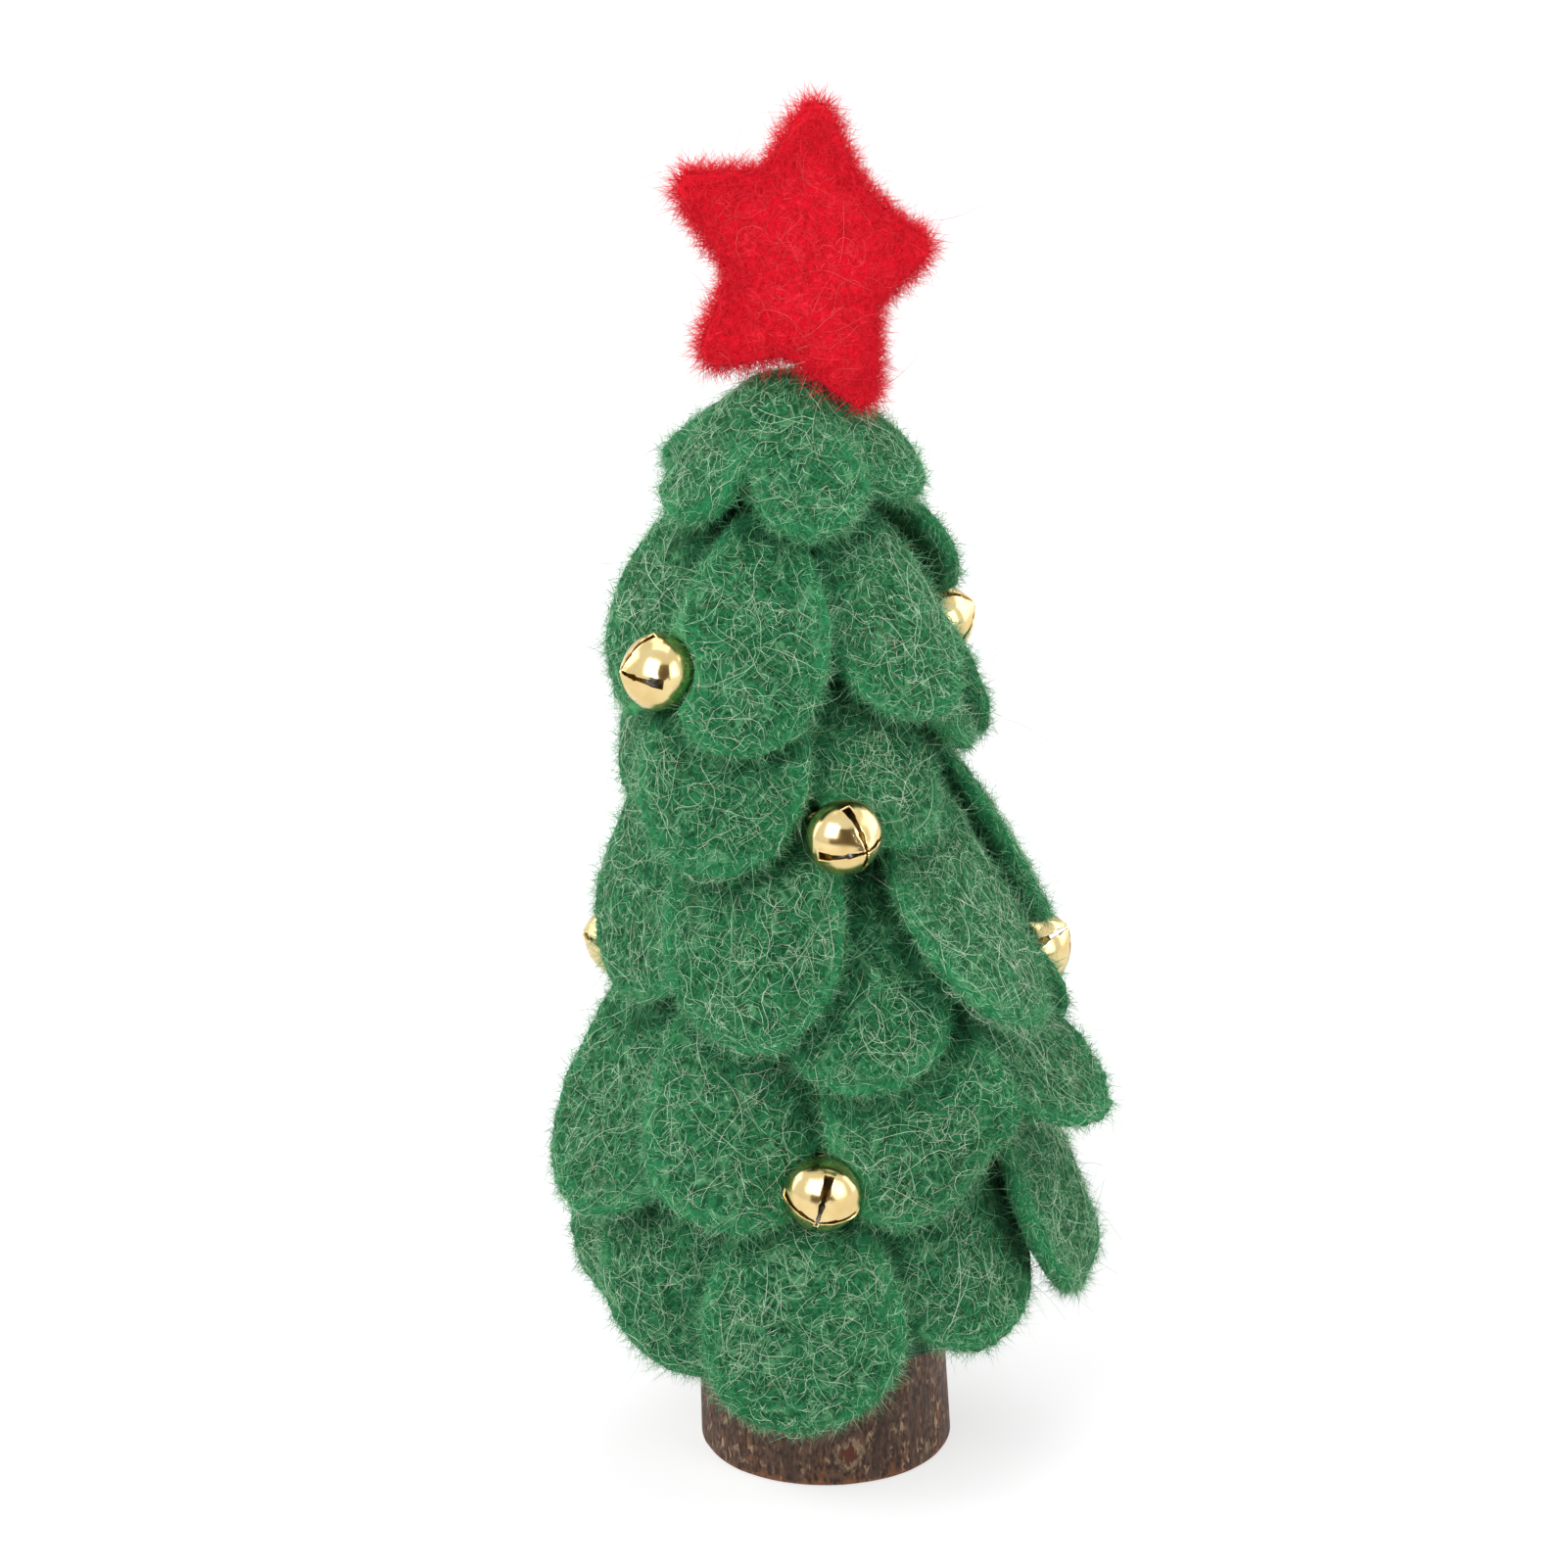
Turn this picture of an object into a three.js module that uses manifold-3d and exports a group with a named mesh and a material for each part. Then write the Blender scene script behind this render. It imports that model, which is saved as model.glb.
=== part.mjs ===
// A small felt tree: wool petals in tiers over a foam cone on a bark log, with jingle bells and a star
import * as THREE from 'three';
import { mergeVertices } from 'three/addons/utils/BufferGeometryUtils.js';
import Module from 'manifold-3d';

const wasm = await Module();
wasm.setup();

// Driving dimensions, in millimetres and degrees
const seatGap = 0.3;
const treeLean = 2.2;

// Bark log, glued into the foot of the core; its underside is sawn so that the tree leans
const logFootRadius = 13;
const logTopRadius = 12.7;
const logHeight = 24;
const logSeat = 6;

// Foam core under the felt, a cone with a domed tip
const coreFootRadius = 21.5;
const coreShoulderRadius = 6;
const coreShoulderHeight = 109;
const coreDomeHeight = 8.8;

// Felt petals: tongues with a narrower root, pressed thin in the glue, and a round tip
const feltThickness = 2.4;
const pressedThickness = 1.3;
const pressedShare = 0.5;
const petalRootShare = 0.8;
const petalStiffness = 0.35;

// Cut sizes of the petals of each tier, from the hem up
const hemLength = 24;
const hemWidth = 22;
const skirtLength = 27;
const skirtWidth = 21;
const lowerLength = 28;
const lowerWidth = 21.5;
const middleLength = 23;
const middleWidth = 19;
const upperLength = 22;
const upperWidth = 18.2;

// Tiers: height of the tips as a share of the core's shoulder height, and each petal in the order that it is
// laid, as [angle, lift of its tip, flare], both shares of its length
const tiers = [
  {
    name: 'hem_petal', tip: 0.156, length: hemLength, width: hemWidth,
    laid: [
      [160, 0, 0.08], [255, 0.04, 0.04], [-57, 0.17, 0], [-32, 0.04, 0.04], [42, 0.08, 0.12],
      [113, 0, 0.12], [205, 0.04, 0.08], [80, 0.08, 0.06], [-3, -0.14, 0.08],
    ],
  },
  {
    name: 'skirt_petal', tip: 0.321, length: skirtLength, width: skirtWidth,
    laid: [
      [164, 0.04, 0.06], [255, 0, 0], [-51, 0.04, 0.15], [-13.5, 0.07, 0.04],
      [71, 0.22, 0.33], [122, 0.04, 0], [211, -0.04, 0.06], [24.7, 0, 0.04],
    ],
  },
  {
    name: 'lower_petal', tip: 0.505, length: lowerLength, width: lowerWidth,
    laid: [
      [165, 0.04, 0.04], [243, 0, 0.04], [-56, 0.07, 0.04], [14.4, -0.14, 0.02],
      [57, -0.02, 0.13], [114, -0.02, 0.03], [203, -0.04, 0.04], [-12.4, 0.07, 0.02],
    ],
  },
  {
    name: 'middle_petal', tip: 0.688, length: middleLength, width: middleWidth,
    laid: [
      [180, 0, 0.02], [235, 0.04, 0.02], [-63, 0.07, 0.02], [35, 0, 0.02],
      [85, 0.2, 0.02], [130, -0.04, 0.02], [-21.8, -0.04, 0.02],
    ],
  },
  {
    name: 'upper_petal', tip: 0.803, length: upperLength, width: upperWidth,
    laid: [
      [174, 0, 0.02], [250, 0, 0.02], [-58, 0.05, 0], [147, 0, 0],
      [46, 0, 0.02], [212, -0.05, 0.02], [-13, -0.02, 0.02],
    ],
  },
];

// Flower-cut cap over the tip: its lobes part at the notch and spread from the dome like a skirt
const capLobes = 5;
const capFirstLobe = 11;
const capLobeWidth = 15;
const capLobeLength = 13;
const capLobeSpread = 48;
const capNotchDrop = 3;

// Star astride the tip: [angle clockwise from upright, share of the reach] of each arm and of each notch
const starReach = 17;
const starThickness = 3;
const starLeanBack = 8;
const starSide = 2.4;
const starHub = 11.9;
const starForward = 0.6;
const starTipRadius = 2.3;
const starArms = [[7.6, 0.975], [86, 0.785], [158.5, 1], [224, 0.865], [306, 0.89]];
const starNotches = [[43, 0.545], [123.5, 0.54], [192, 0.62], [263, 0.455], [340, 0.59]];

// Jingle bells, each seated at an angle and a height, a share of the core's shoulder height. Its slits cross
// at a pole that faces a compass direction and rises above the level; the cross is turned about the pole
const bellRadius = 4;
const bellWall = 0.35;
const bellSink = 1.2;
const bellSlitAngle = 82;
const bellSlitAtPole = 0.3;
const bellSlitAtEnd = 1.1;
const bellLoopRadius = 1.5;
const bellLoopWire = 0.7;
const pelletRadius = 1.5;
const bells = [
  { angle: -41, height: 0.869, faces: -68.8, rise: 10.8, turn: 0 },
  { angle: 12, height: 0.721, faces: 35.4, rise: -4.3, turn: 8 },
  { angle: 2.1, height: 0.375, faces: -8.8, rise: -19.3, turn: -18 },
  { angle: -88, height: 0.537, faces: -100, rise: 8, turn: 10 },
  { angle: 117, height: 0.46, faces: 88, rise: 31, turn: -20 },
  { angle: 137, height: 0.79, faces: 100, rise: 20, turn: 30 },
  { angle: 172, height: 0.606, faces: 165, rise: -12, turn: 15 },
  { angle: 196, height: 0.8, faces: 204, rise: 5, turn: 35 },
];

// Fineness of the facets and of the map that the petals are draped over
const roundSides = 24;
const ballSides = 12;
const ballRings = 8;
const pocketFlat = 0.93;
const pocketDetail = 1;
const loopSteps = 5;
const domeSteps = 5;
const seatSteps = 12;
const starTipSteps = 3;
const petalColumns = 4;
const straightRows = 4;
const roundRows = 4;
const capDomeRings = 2;
const capLobeRows = 2;
const settlePasses = 16;
const clearPasses = 40;
const mapCells = 360;
const mapStep = 0.5;
const probesPerStep = 1.5;

const radians = THREE.MathUtils.degToRad;
const coreFootHeight = logHeight - logSeat;
const coreTop = coreShoulderHeight + coreDomeHeight;

function felt(color) {
  return new THREE.MeshStandardMaterial({ color, roughness: 0.95, metalness: 0 });
}

const greenFelt = felt(0x1f7a48);
const redFelt = felt(0xd8142c);
const bark = new THREE.MeshStandardMaterial({ color: 0x4a362e, roughness: 0.9, metalness: 0 });
const foam = new THREE.MeshStandardMaterial({ color: 0x24553a, roughness: 0.95, metalness: 0 });
const goldPlate = new THREE.MeshStandardMaterial({ color: 0xe2c27a, roughness: 0.18, metalness: 1 });
const steel = new THREE.MeshStandardMaterial({ color: 0x9a9a98, roughness: 0.35, metalness: 1 });

// A place about the tree's axis: angle 0 faces -Y and grows towards +X
function around(angle, radius, height) {
  return new THREE.Vector3(radius * Math.sin(angle), -radius * Math.cos(angle), height);
}

function toManifold(geometry) {
  const bare = geometry.clone();
  bare.deleteAttribute('normal');
  bare.deleteAttribute('uv');
  const merged = mergeVertices(bare);
  const triVerts = [];
  for (let k = 0; k < merged.index.count; k += 3) {
    const corners = [0, 1, 2].map((n) => merged.index.getX(k + n));
    if (new Set(corners).size === 3) triVerts.push(...corners);
  }
  const solid = {
    numProp: 3,
    vertProperties: Float32Array.from(merged.attributes.position.array),
    triVerts: Uint32Array.from(triVerts),
  };
  return new wasm.Manifold(new wasm.Mesh(solid));
}

function toGeometry(manifold) {
  const { vertProperties, triVerts } = manifold.getMesh();
  const geometry = new THREE.BufferGeometry();
  geometry.setAttribute('position', new THREE.BufferAttribute(vertProperties, 3));
  geometry.setIndex(new THREE.BufferAttribute(triVerts, 1));
  geometry.computeVertexNormals();
  return geometry;
}

// The piece without the tool's space, with offcuts left by the tool dropped
function cutAway(piece, tool) {
  const bodies = toManifold(piece).subtract(toManifold(tool)).decompose();
  bodies.sort((a, b) => b.volume() - a.volume());
  return toGeometry(bodies[0]);
}

// A closed sheet between an outer and an inner point for each vertex, with walls along its open edges
function closedSheet(outer, inner, faces) {
  const count = outer.length;
  const index = [];
  const openEdges = new Map();
  for (const face of faces) {
    const [a, b, c] = face;
    index.push(a, b, c, a + count, c + count, b + count);
    for (const [from, to] of [[a, b], [b, c], [c, a]]) {
      if (!openEdges.delete(`${to} ${from}`)) openEdges.set(`${from} ${to}`, [from, to]);
    }
  }
  for (const [from, to] of openEdges.values()) {
    index.push(to, from, from + count, to, from + count, to + count);
  }
  const geometry = new THREE.BufferGeometry().setFromPoints([...outer, ...inner]);
  geometry.setIndex(index);
  geometry.computeVertexNormals();
  return geometry;
}

// Radius of the core at a height; below its foot only the log is there
function coreRadius(height) {
  if (height < coreFootHeight) return logFootRadius;
  if (height > coreTop) return 0;
  if (height > coreShoulderHeight) {
    const rise = (height - coreShoulderHeight) / coreDomeHeight;
    return coreShoulderRadius * Math.sqrt(1 - rise * rise);
  }
  const up = (height - coreFootHeight) / (coreShoulderHeight - coreFootHeight);
  return THREE.MathUtils.lerp(coreFootRadius, coreShoulderRadius, up);
}

// Shares of a triangle's corners at points spread over it, closer together than the map's cells
function spread(...sides) {
  const steps = Math.ceil((probesPerStep * Math.max(...sides)) / mapStep);
  const shares = [];
  for (let i = 0; i <= steps; i++) {
    for (let j = 0; j <= steps - i; j++) shares.push([i / steps, j / steps, (steps - i - j) / steps]);
  }
  return shares;
}

// The outermost radius laid so far, in cells by angle and height
class Envelope {
  constructor() {
    this.rings = [];
    for (let height = 0; height <= coreTop; height += mapStep) {
      this.rings.push(new Float64Array(mapCells).fill(coreRadius(height)));
    }
  }

  column(angle) {
    return Math.round((angle / (2 * Math.PI)) * mapCells);
  }

  // The radius laid so far at one place
  at(angle, height) {
    const row = THREE.MathUtils.clamp(Math.round(height / mapStep), 0, this.rings.length - 1);
    return this.rings[row][THREE.MathUtils.euclideanModulo(this.column(angle), mapCells)];
  }

  // Raise the cells under a triangle, and their neighbours, to the triangle
  cover(a, b, c) {
    for (const [u, v, w] of spread(a.distanceTo(b), b.distanceTo(c), c.distanceTo(a))) {
      const point = new THREE.Vector3().addScaledVector(a, u).addScaledVector(b, v).addScaledVector(c, w);
      this.raise(Math.atan2(point.x, -point.y), Math.hypot(point.x, point.y), point.z);
    }
  }

  raise(angle, radius, height) {
    const row = Math.round(height / mapStep);
    const column = this.column(angle);
    for (let r = Math.max(0, row - 1); r <= Math.min(this.rings.length - 1, row + 1); r++) {
      for (let k = column - 1; k <= column + 1; k++) {
        const cell = THREE.MathUtils.euclideanModulo(k, mapCells);
        this.rings[r][cell] = Math.max(this.rings[r][cell], radius);
      }
    }
  }
}

// Rows of the flat petal from root to tip: distance from the root and half width
function petalRows(tier, rootReach) {
  const tipRadius = tier.width / 2;
  const rootHalf = Math.min(tipRadius, (petalRootShare * Math.PI * rootReach) / tier.laid.length);
  const straight = tier.length - tipRadius;
  const rows = [];
  for (let k = 0; k <= straightRows; k++) {
    const share = k / straightRows;
    rows.push({ down: straight * share, half: THREE.MathUtils.lerp(tipRadius, rootHalf, (1 - share) ** 2) });
  }
  for (let k = 1; k <= roundRows; k++) {
    const turn = (k / roundRows) * (Math.PI / 2);
    rows.push({ down: straight + tipRadius * Math.sin(turn), half: tipRadius * Math.cos(turn) });
  }
  return rows;
}

// Places across a sheet, from one side at -1 to the other at 1
const acrossSheet = Array.from({ length: petalColumns + 1 }, (_, c) => (2 * c) / petalColumns - 1);

// Triangles of a petal's grid, whose last row is one vertex at the tip
const gridRows = straightRows + roundRows;
const tipVertex = gridRows * (petalColumns + 1);
const gridFaces = [];
for (let row = 0; row < gridRows; row++) {
  for (let column = 0; column < petalColumns; column++) {
    const [a, b] = [0, 1].map((step) => row * (petalColumns + 1) + column + step);
    const [d, c] = [a, b].map((above) => Math.min(above + petalColumns + 1, tipVertex));
    gridFaces.push([a, d, c]);
    if (c !== d) gridFaces.push([a, c, b]);
    else gridFaces[gridFaces.length - 1] = [a, d, b];
  }
}

function neighbours(faces, count) {
  const rings = Array.from({ length: count }, () => new Set());
  for (const face of faces) {
    for (const vertex of face) {
      for (const other of face) if (other !== vertex) rings[vertex].add(other);
    }
  }
  return rings.map((ring) => [...ring]);
}

// Inner radii of a felt sheet that is pressed on what is laid so far: stiff felt evens out its neighbours,
// and is pushed out wherever it would sink into what lies under it. Glued vertices keep to their place
function settle(places, faces, glued, middle, envelope) {
  const radius = places.map((place) => place.rest);
  const contacts = [];
  for (const face of faces) {
    const [a, b, c] = face.map((vertex) => places[vertex]);
    const corners = [a, b, c].map((place) => around(place.turn, place.rest, place.height));
    const sides = corners.map((corner, k) => corner.distanceTo(corners[(k + 1) % 3]));
    for (const shares of spread(...sides)) {
      const turn = shares[0] * a.turn + shares[1] * b.turn + shares[2] * c.turn;
      const height = shares[0] * a.height + shares[1] * b.height + shares[2] * c.height;
      const least = envelope.at(middle + turn, height) + seatGap;
      contacts.push({ face, shares, least, sum: shares.reduce((sum, share) => sum + share * share, 0) });
    }
  }
  const rings = neighbours(faces, places.length);
  for (let pass = 0; pass < settlePasses + clearPasses; pass++) {
    if (pass < settlePasses) {
      const last = [...radius];
      rings.forEach((ring, vertex) => {
        if (vertex < glued) return;
        const mean = ring.reduce((sum, other) => sum + last[other], 0) / ring.length;
        radius[vertex] = THREE.MathUtils.lerp(last[vertex], mean, petalStiffness);
      });
    }
    for (const { face, shares, least, sum } of contacts) {
      const short = least - face.reduce((total, vertex, k) => total + shares[k] * radius[vertex], 0);
      if (short > 0) face.forEach((vertex, k) => { radius[vertex] += (short * shares[k]) / sum; });
    }
  }
  return radius;
}

// Thickness of a petal at a share of its length: pressed at the root, full further down
function loft(share) {
  const rise = THREE.MathUtils.smoothstep(share, 0, pressedShare);
  return THREE.MathUtils.lerp(pressedThickness, feltThickness, rise);
}

// Drape one petal over what is laid so far, in its own frame with its middle at angle 0
function layPetal(tier, [angle, lift, flare], envelope) {
  const middle = radians(angle);
  const rootHeight = tier.tip * coreShoulderHeight + (1 + lift) * tier.length;
  const rows = petalRows(tier, coreRadius(rootHeight) + seatGap + pressedThickness);
  const grid = (reach) => rows.flatMap(({ down, half }, r) => {
    const height = rootHeight - down;
    const rest = coreRadius(Math.max(height, coreFootHeight)) + seatGap;
    const share = down / tier.length;
    const columns = r === gridRows ? [0] : acrossSheet;
    return columns.map((side) => ({ turn: (half * side) / reach[r], height, rest, share }));
  });

  // The first fit, on the core's own slope, finds how far out each row lies, and so its true width there
  const onCore = rows.map(({ down }) => coreRadius(rootHeight - down) + feltThickness);
  const first = settle(grid(onCore), gridFaces, acrossSheet.length, middle, envelope);
  const reach = rows.map((_, r) => {
    const row = first.slice(r * acrossSheet.length, (r + 1) * acrossSheet.length);
    return row.reduce((sum, value) => sum + value, 0) / row.length + feltThickness;
  });
  const places = grid(reach);
  const radius = settle(places, gridFaces, acrossSheet.length, middle, envelope);

  const flared = places.map(({ share }, k) => radius[k] + flare * tier.length * share ** 2);
  const inner = places.map(({ turn, height }, k) => around(turn, flared[k], height));
  const outer = places.map(({ turn, height, share }, k) => around(turn, flared[k] + loft(share), height));
  const spin = new THREE.Matrix4().makeRotationZ(middle);
  const laid = outer.map((point) => point.clone().applyMatrix4(spin));
  for (const [a, b, c] of gridFaces) envelope.cover(laid[a], laid[b], laid[c]);

  const petal = new THREE.Mesh(closedSheet(outer, inner, gridFaces), greenFelt);
  petal.rotation.z = middle;
  return petal;
}

// Log: a flared round, glued square into the core and sawn level where it stands
function barkLog(ground) {
  const spare = logFootRadius;
  const trunk = new THREE.CylinderGeometry(logTopRadius, logFootRadius, logHeight + spare, roundSides);
  trunk.rotateX(Math.PI / 2).translate(0, 0, (logHeight - spare) / 2);
  const saw = new THREE.BoxGeometry(4 * logFootRadius, 4 * logFootRadius, 4 * spare);
  saw.translate(0, 0, -2 * spare).applyMatrix4(ground);
  return new THREE.Mesh(cutAway(trunk, saw), bark);
}

// Core: turned from foam, with a round recess in its foot for the log
function foamCore() {
  const recessRadius = logFootRadius + seatGap;
  const recessTop = logHeight + seatGap;
  const profile = [
    new THREE.Vector2(0, recessTop),
    new THREE.Vector2(recessRadius, recessTop),
    new THREE.Vector2(recessRadius, coreFootHeight),
    new THREE.Vector2(coreFootRadius, coreFootHeight),
  ];
  for (let k = 0; k <= domeSteps; k++) {
    const rise = Math.sin((k / domeSteps) * (Math.PI / 2));
    const height = coreShoulderHeight + coreDomeHeight * rise;
    profile.push(new THREE.Vector2(k === domeSteps ? 0 : coreRadius(height), height));
  }
  const cone = new THREE.LatheGeometry(profile, roundSides).rotateX(Math.PI / 2);
  return new THREE.Mesh(cone, foam);
}

// Cap: a dome over the core's tip whose lobes hang from it over the roots of the top tier
function flowerCap(envelope) {
  const domeRadius = coreShoulderRadius + seatGap;
  const domeRise = coreDomeHeight + seatGap;
  const notchTurn = Math.acos(1 - capNotchDrop / domeRise);
  const lobeTurn = (2 * Math.PI) / capLobes;
  const places = [{ turn: 0, height: coreShoulderHeight + domeRise, rest: 0, out: new THREE.Vector2(0, 1) }];
  const faces = [];

  // Rings of the dome, shared by all the lobes
  const ringSize = capLobes * petalColumns;
  for (let ring = 1; ring <= capDomeRings; ring++) {
    const turn = (notchTurn * ring) / capDomeRings;
    const out = new THREE.Vector2(Math.sin(turn) / domeRadius, Math.cos(turn) / domeRise).normalize();
    for (let k = 0; k < ringSize; k++) {
      places.push({
        turn: (k / ringSize) * 2 * Math.PI - lobeTurn / 2,
        height: coreShoulderHeight + domeRise * Math.cos(turn),
        rest: domeRadius * Math.sin(turn),
        out,
      });
    }
    for (let k = 0; k < ringSize; k++) {
      const [a, b] = [k, (k + 1) % ringSize].map((n) => 1 + (ring - 1) * ringSize + n);
      if (ring === 1) faces.push([0, a, b]);
      else faces.push([a - ringSize, a, b], [a - ringSize, b, b - ringSize]);
    }
  }
  const domeCount = places.length;

  // Lobes from the notch down, with round tips
  const notch = places[domeCount - 1];
  const slope = radians(capLobeSpread);
  const tipRadius = capLobeWidth / 2;
  const out = new THREE.Vector2(Math.cos(slope), Math.sin(slope));
  const rows = [];
  for (let k = 1; k <= capLobeRows; k++) {
    const down = (capLobeLength - tipRadius) * (k / capLobeRows);
    rows.push({ down, half: tipRadius });
  }
  for (let k = 1; k <= roundRows; k++) {
    const turn = (k / roundRows) * (Math.PI / 2);
    const down = capLobeLength - tipRadius * (1 - Math.sin(turn));
    rows.push({ down, half: tipRadius * Math.cos(turn) });
  }
  for (let lobe = 0; lobe < capLobes; lobe++) {
    const ringStart = domeCount - ringSize;
    let above = acrossSheet.map((_, c) => ringStart + ((lobe * petalColumns + c) % ringSize));
    rows.forEach(({ down, half }, r) => {
      const rest = notch.rest + down * Math.sin(slope);
      const reach = rest + feltThickness * out.x;
      const widest = Math.min(half / reach, lobeTurn / 2 - seatGap / reach);
      const sides = r === rows.length - 1 ? [0] : acrossSheet;
      const start = places.length;
      for (const side of sides) {
        const height = notch.height - down * Math.cos(slope);
        places.push({ turn: lobe * lobeTurn + widest * side, height, rest, out });
      }
      const below = acrossSheet.map((_, c) => start + Math.min(c, sides.length - 1));
      for (let c = 0; c < petalColumns; c++) {
        faces.push([above[c], below[c], above[c + 1]]);
        if (below[c] !== below[c + 1]) faces.push([above[c + 1], below[c], below[c + 1]]);
      }
      above = below;
    });
  }

  const middle = radians(capFirstLobe);
  const radius = settle(places, faces, domeCount, middle, envelope);
  places.forEach((place, k) => {
    if (k >= domeCount) place.rest = radius[k];
  });
  const inner = places.map(({ turn, height, rest }) => around(turn, rest, height));
  const outer = inner.map((point, k) => {
    const { turn, out: lift } = places[k];
    return point.clone().add(around(turn, feltThickness * lift.x, feltThickness * lift.y));
  });
  const cap = new THREE.Mesh(closedSheet(outer, inner, faces), greenFelt);
  cap.rotation.z = middle;
  return cap;
}

// The cap's dome as a solid of revolution, grown by the seat gap
function domeClearance() {
  const grow = 2 * seatGap + feltThickness;
  const profile = [new THREE.Vector2(0, coreFootHeight)];
  const slope = radians(capLobeSpread);
  const notchTurn = Math.acos(1 - capNotchDrop / (coreDomeHeight + seatGap));
  for (let k = 0; k <= seatSteps; k++) {
    const turn = notchTurn * (1 - k / seatSteps);
    const radius = (coreShoulderRadius + grow) * Math.sin(turn);
    const height = coreShoulderHeight + (coreDomeHeight + grow) * Math.cos(turn);
    if (k === 0) {
      const drop = height - coreFootHeight;
      profile.push(new THREE.Vector2(radius + drop * Math.tan(slope), coreFootHeight));
    }
    profile.push(new THREE.Vector2(k === seatSteps ? 0 : radius, height));
  }
  return new THREE.LatheGeometry(profile, roundSides).rotateX(Math.PI / 2);
}

// Star: cut from thick felt with round tips, and hollowed below where it sits astride the cap
function feltStar() {
  const polar = ([angle, share], inset) => {
    const turn = radians(angle);
    return new THREE.Vector2(Math.sin(turn), Math.cos(turn)).multiplyScalar(starReach * share - inset);
  };
  const outline = new THREE.Shape();
  starArms.forEach((arm, k) => {
    const centre = polar(arm, starTipRadius);
    const [before, after] = [starNotches.at(k - 1), starNotches[k]].map((notch) => polar(notch, 0));
    const touch = (notch, side) => {
      const away = notch.clone().sub(centre);
      return away.angle() + side * Math.acos(starTipRadius / away.length());
    };
    outline.absarc(centre.x, centre.y, starTipRadius, touch(before, -1), touch(after, 1), true);
    outline.lineTo(after.x, after.y);
  });
  const cut = { depth: starThickness, bevelEnabled: false, curveSegments: starTipSteps };
  const plate = new THREE.ExtrudeGeometry(outline, cut);
  plate.translate(0, 0, -starThickness / 2).rotateX(Math.PI / 2);
  const star = new THREE.Mesh(plate, redFelt);
  star.position.set(starSide, starForward, coreTop + seatGap + feltThickness + starHub);
  star.rotation.x = -radians(starLeanBack);
  star.updateMatrix();
  const seat = domeClearance().applyMatrix4(star.matrix.clone().invert());
  star.geometry = cutAway(plate, seat);
  return star;
}

// One bell about its own centre, with the slits crossing at +Z and the loop at -Z
function bellShell() {
  const ball = (radius) => toManifold(
    new THREE.SphereGeometry(radius, ballSides, ballRings).rotateX(Math.PI / 2),
  );
  const slitFoot = bellRadius * Math.cos(radians(bellSlitAngle));
  const slitTop = bellRadius + bellWall;
  const slit = new THREE.Shape([
    new THREE.Vector2(-bellSlitAtEnd / 2, slitFoot),
    new THREE.Vector2(bellSlitAtEnd / 2, slitFoot),
    new THREE.Vector2(bellSlitAtPole / 2, slitTop),
    new THREE.Vector2(-bellSlitAtPole / 2, slitTop),
  ]);
  const cut = new THREE.ExtrudeGeometry(slit, { depth: 2 * slitTop, bevelEnabled: false });
  cut.translate(0, 0, -slitTop).rotateX(Math.PI / 2);
  const ring = new THREE.Shape().absarc(0, 0, bellLoopRadius + bellLoopWire / 2, 0, 2 * Math.PI);
  ring.holes.push(new THREE.Path().absarc(0, 0, bellLoopRadius - bellLoopWire / 2, 0, 2 * Math.PI));
  const bent = { depth: bellLoopWire, bevelEnabled: false, curveSegments: loopSteps };
  const loop = new THREE.ExtrudeGeometry(ring, bent);
  loop.translate(0, 0, -bellLoopWire / 2).rotateX(Math.PI / 2).translate(0, 0, -bellRadius - bellLoopWire);
  const shell = ball(bellRadius)
    .add(toManifold(loop))
    .subtract(ball(bellRadius - bellWall))
    .subtract(toManifold(cut))
    .subtract(toManifold(cut.clone().rotateZ(Math.PI / 2)));
  return toGeometry(shell);
}

// The space that a bell and its loop need in the felt
function bellPocket() {
  const round = (bellRadius + seatGap) / pocketFlat;
  const ball = new THREE.IcosahedronGeometry(round, pocketDetail);
  const reach = bellRadius + bellLoopWire + bellLoopRadius + bellLoopWire / 2 + seatGap;
  const across = 2 * bellLoopRadius + bellLoopWire + 2 * seatGap;
  const slot = new THREE.BoxGeometry(across, bellLoopWire + 2 * seatGap, reach);
  return toGeometry(toManifold(ball).add(toManifold(slot.translate(0, 0, -reach / 2))));
}

// Stand a bell in the felt, with its pole facing the way it is aimed
function seatBell({ angle, height, faces, rise, turn }, envelope) {
  const bell = new THREE.Mesh(bellShell(), goldPlate);
  const seatHeight = height * coreShoulderHeight;
  const reach = envelope.at(radians(angle), seatHeight) + bellRadius - bellSink;
  const pole = around(radians(faces), Math.cos(radians(rise)), Math.sin(radians(rise)));
  const level = around(radians(faces) + Math.PI / 2, 1, 0);
  const upright = pole.clone().cross(level);
  bell.quaternion.setFromRotationMatrix(new THREE.Matrix4().makeBasis(level, upright, pole));
  bell.rotateZ(radians(turn));
  bell.position.copy(around(radians(angle), reach, seatHeight));
  bell.updateMatrix();
  return bell;
}

// Sink a bell's pocket in a piece that it reaches
function makeRoom(piece, bell, pocket) {
  piece.updateMatrix();
  const space = pocket.clone().applyMatrix4(piece.matrix.clone().invert().multiply(bell.matrix));
  space.computeBoundingBox();
  piece.geometry.computeBoundingBox();
  if (!piece.geometry.boundingBox.intersectsBox(space.boundingBox)) return;
  piece.geometry = cutAway(piece.geometry, space);
}

const tree = new THREE.Group();
tree.rotation.y = -radians(treeLean);
tree.updateMatrix();

const ornament = new THREE.Group();
ornament.add(tree);

const log = barkLog(tree.matrix.clone().invert());
log.name = 'log_foot';
const core = foamCore();
core.name = 'core_cone';
tree.add(log, core);

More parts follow.
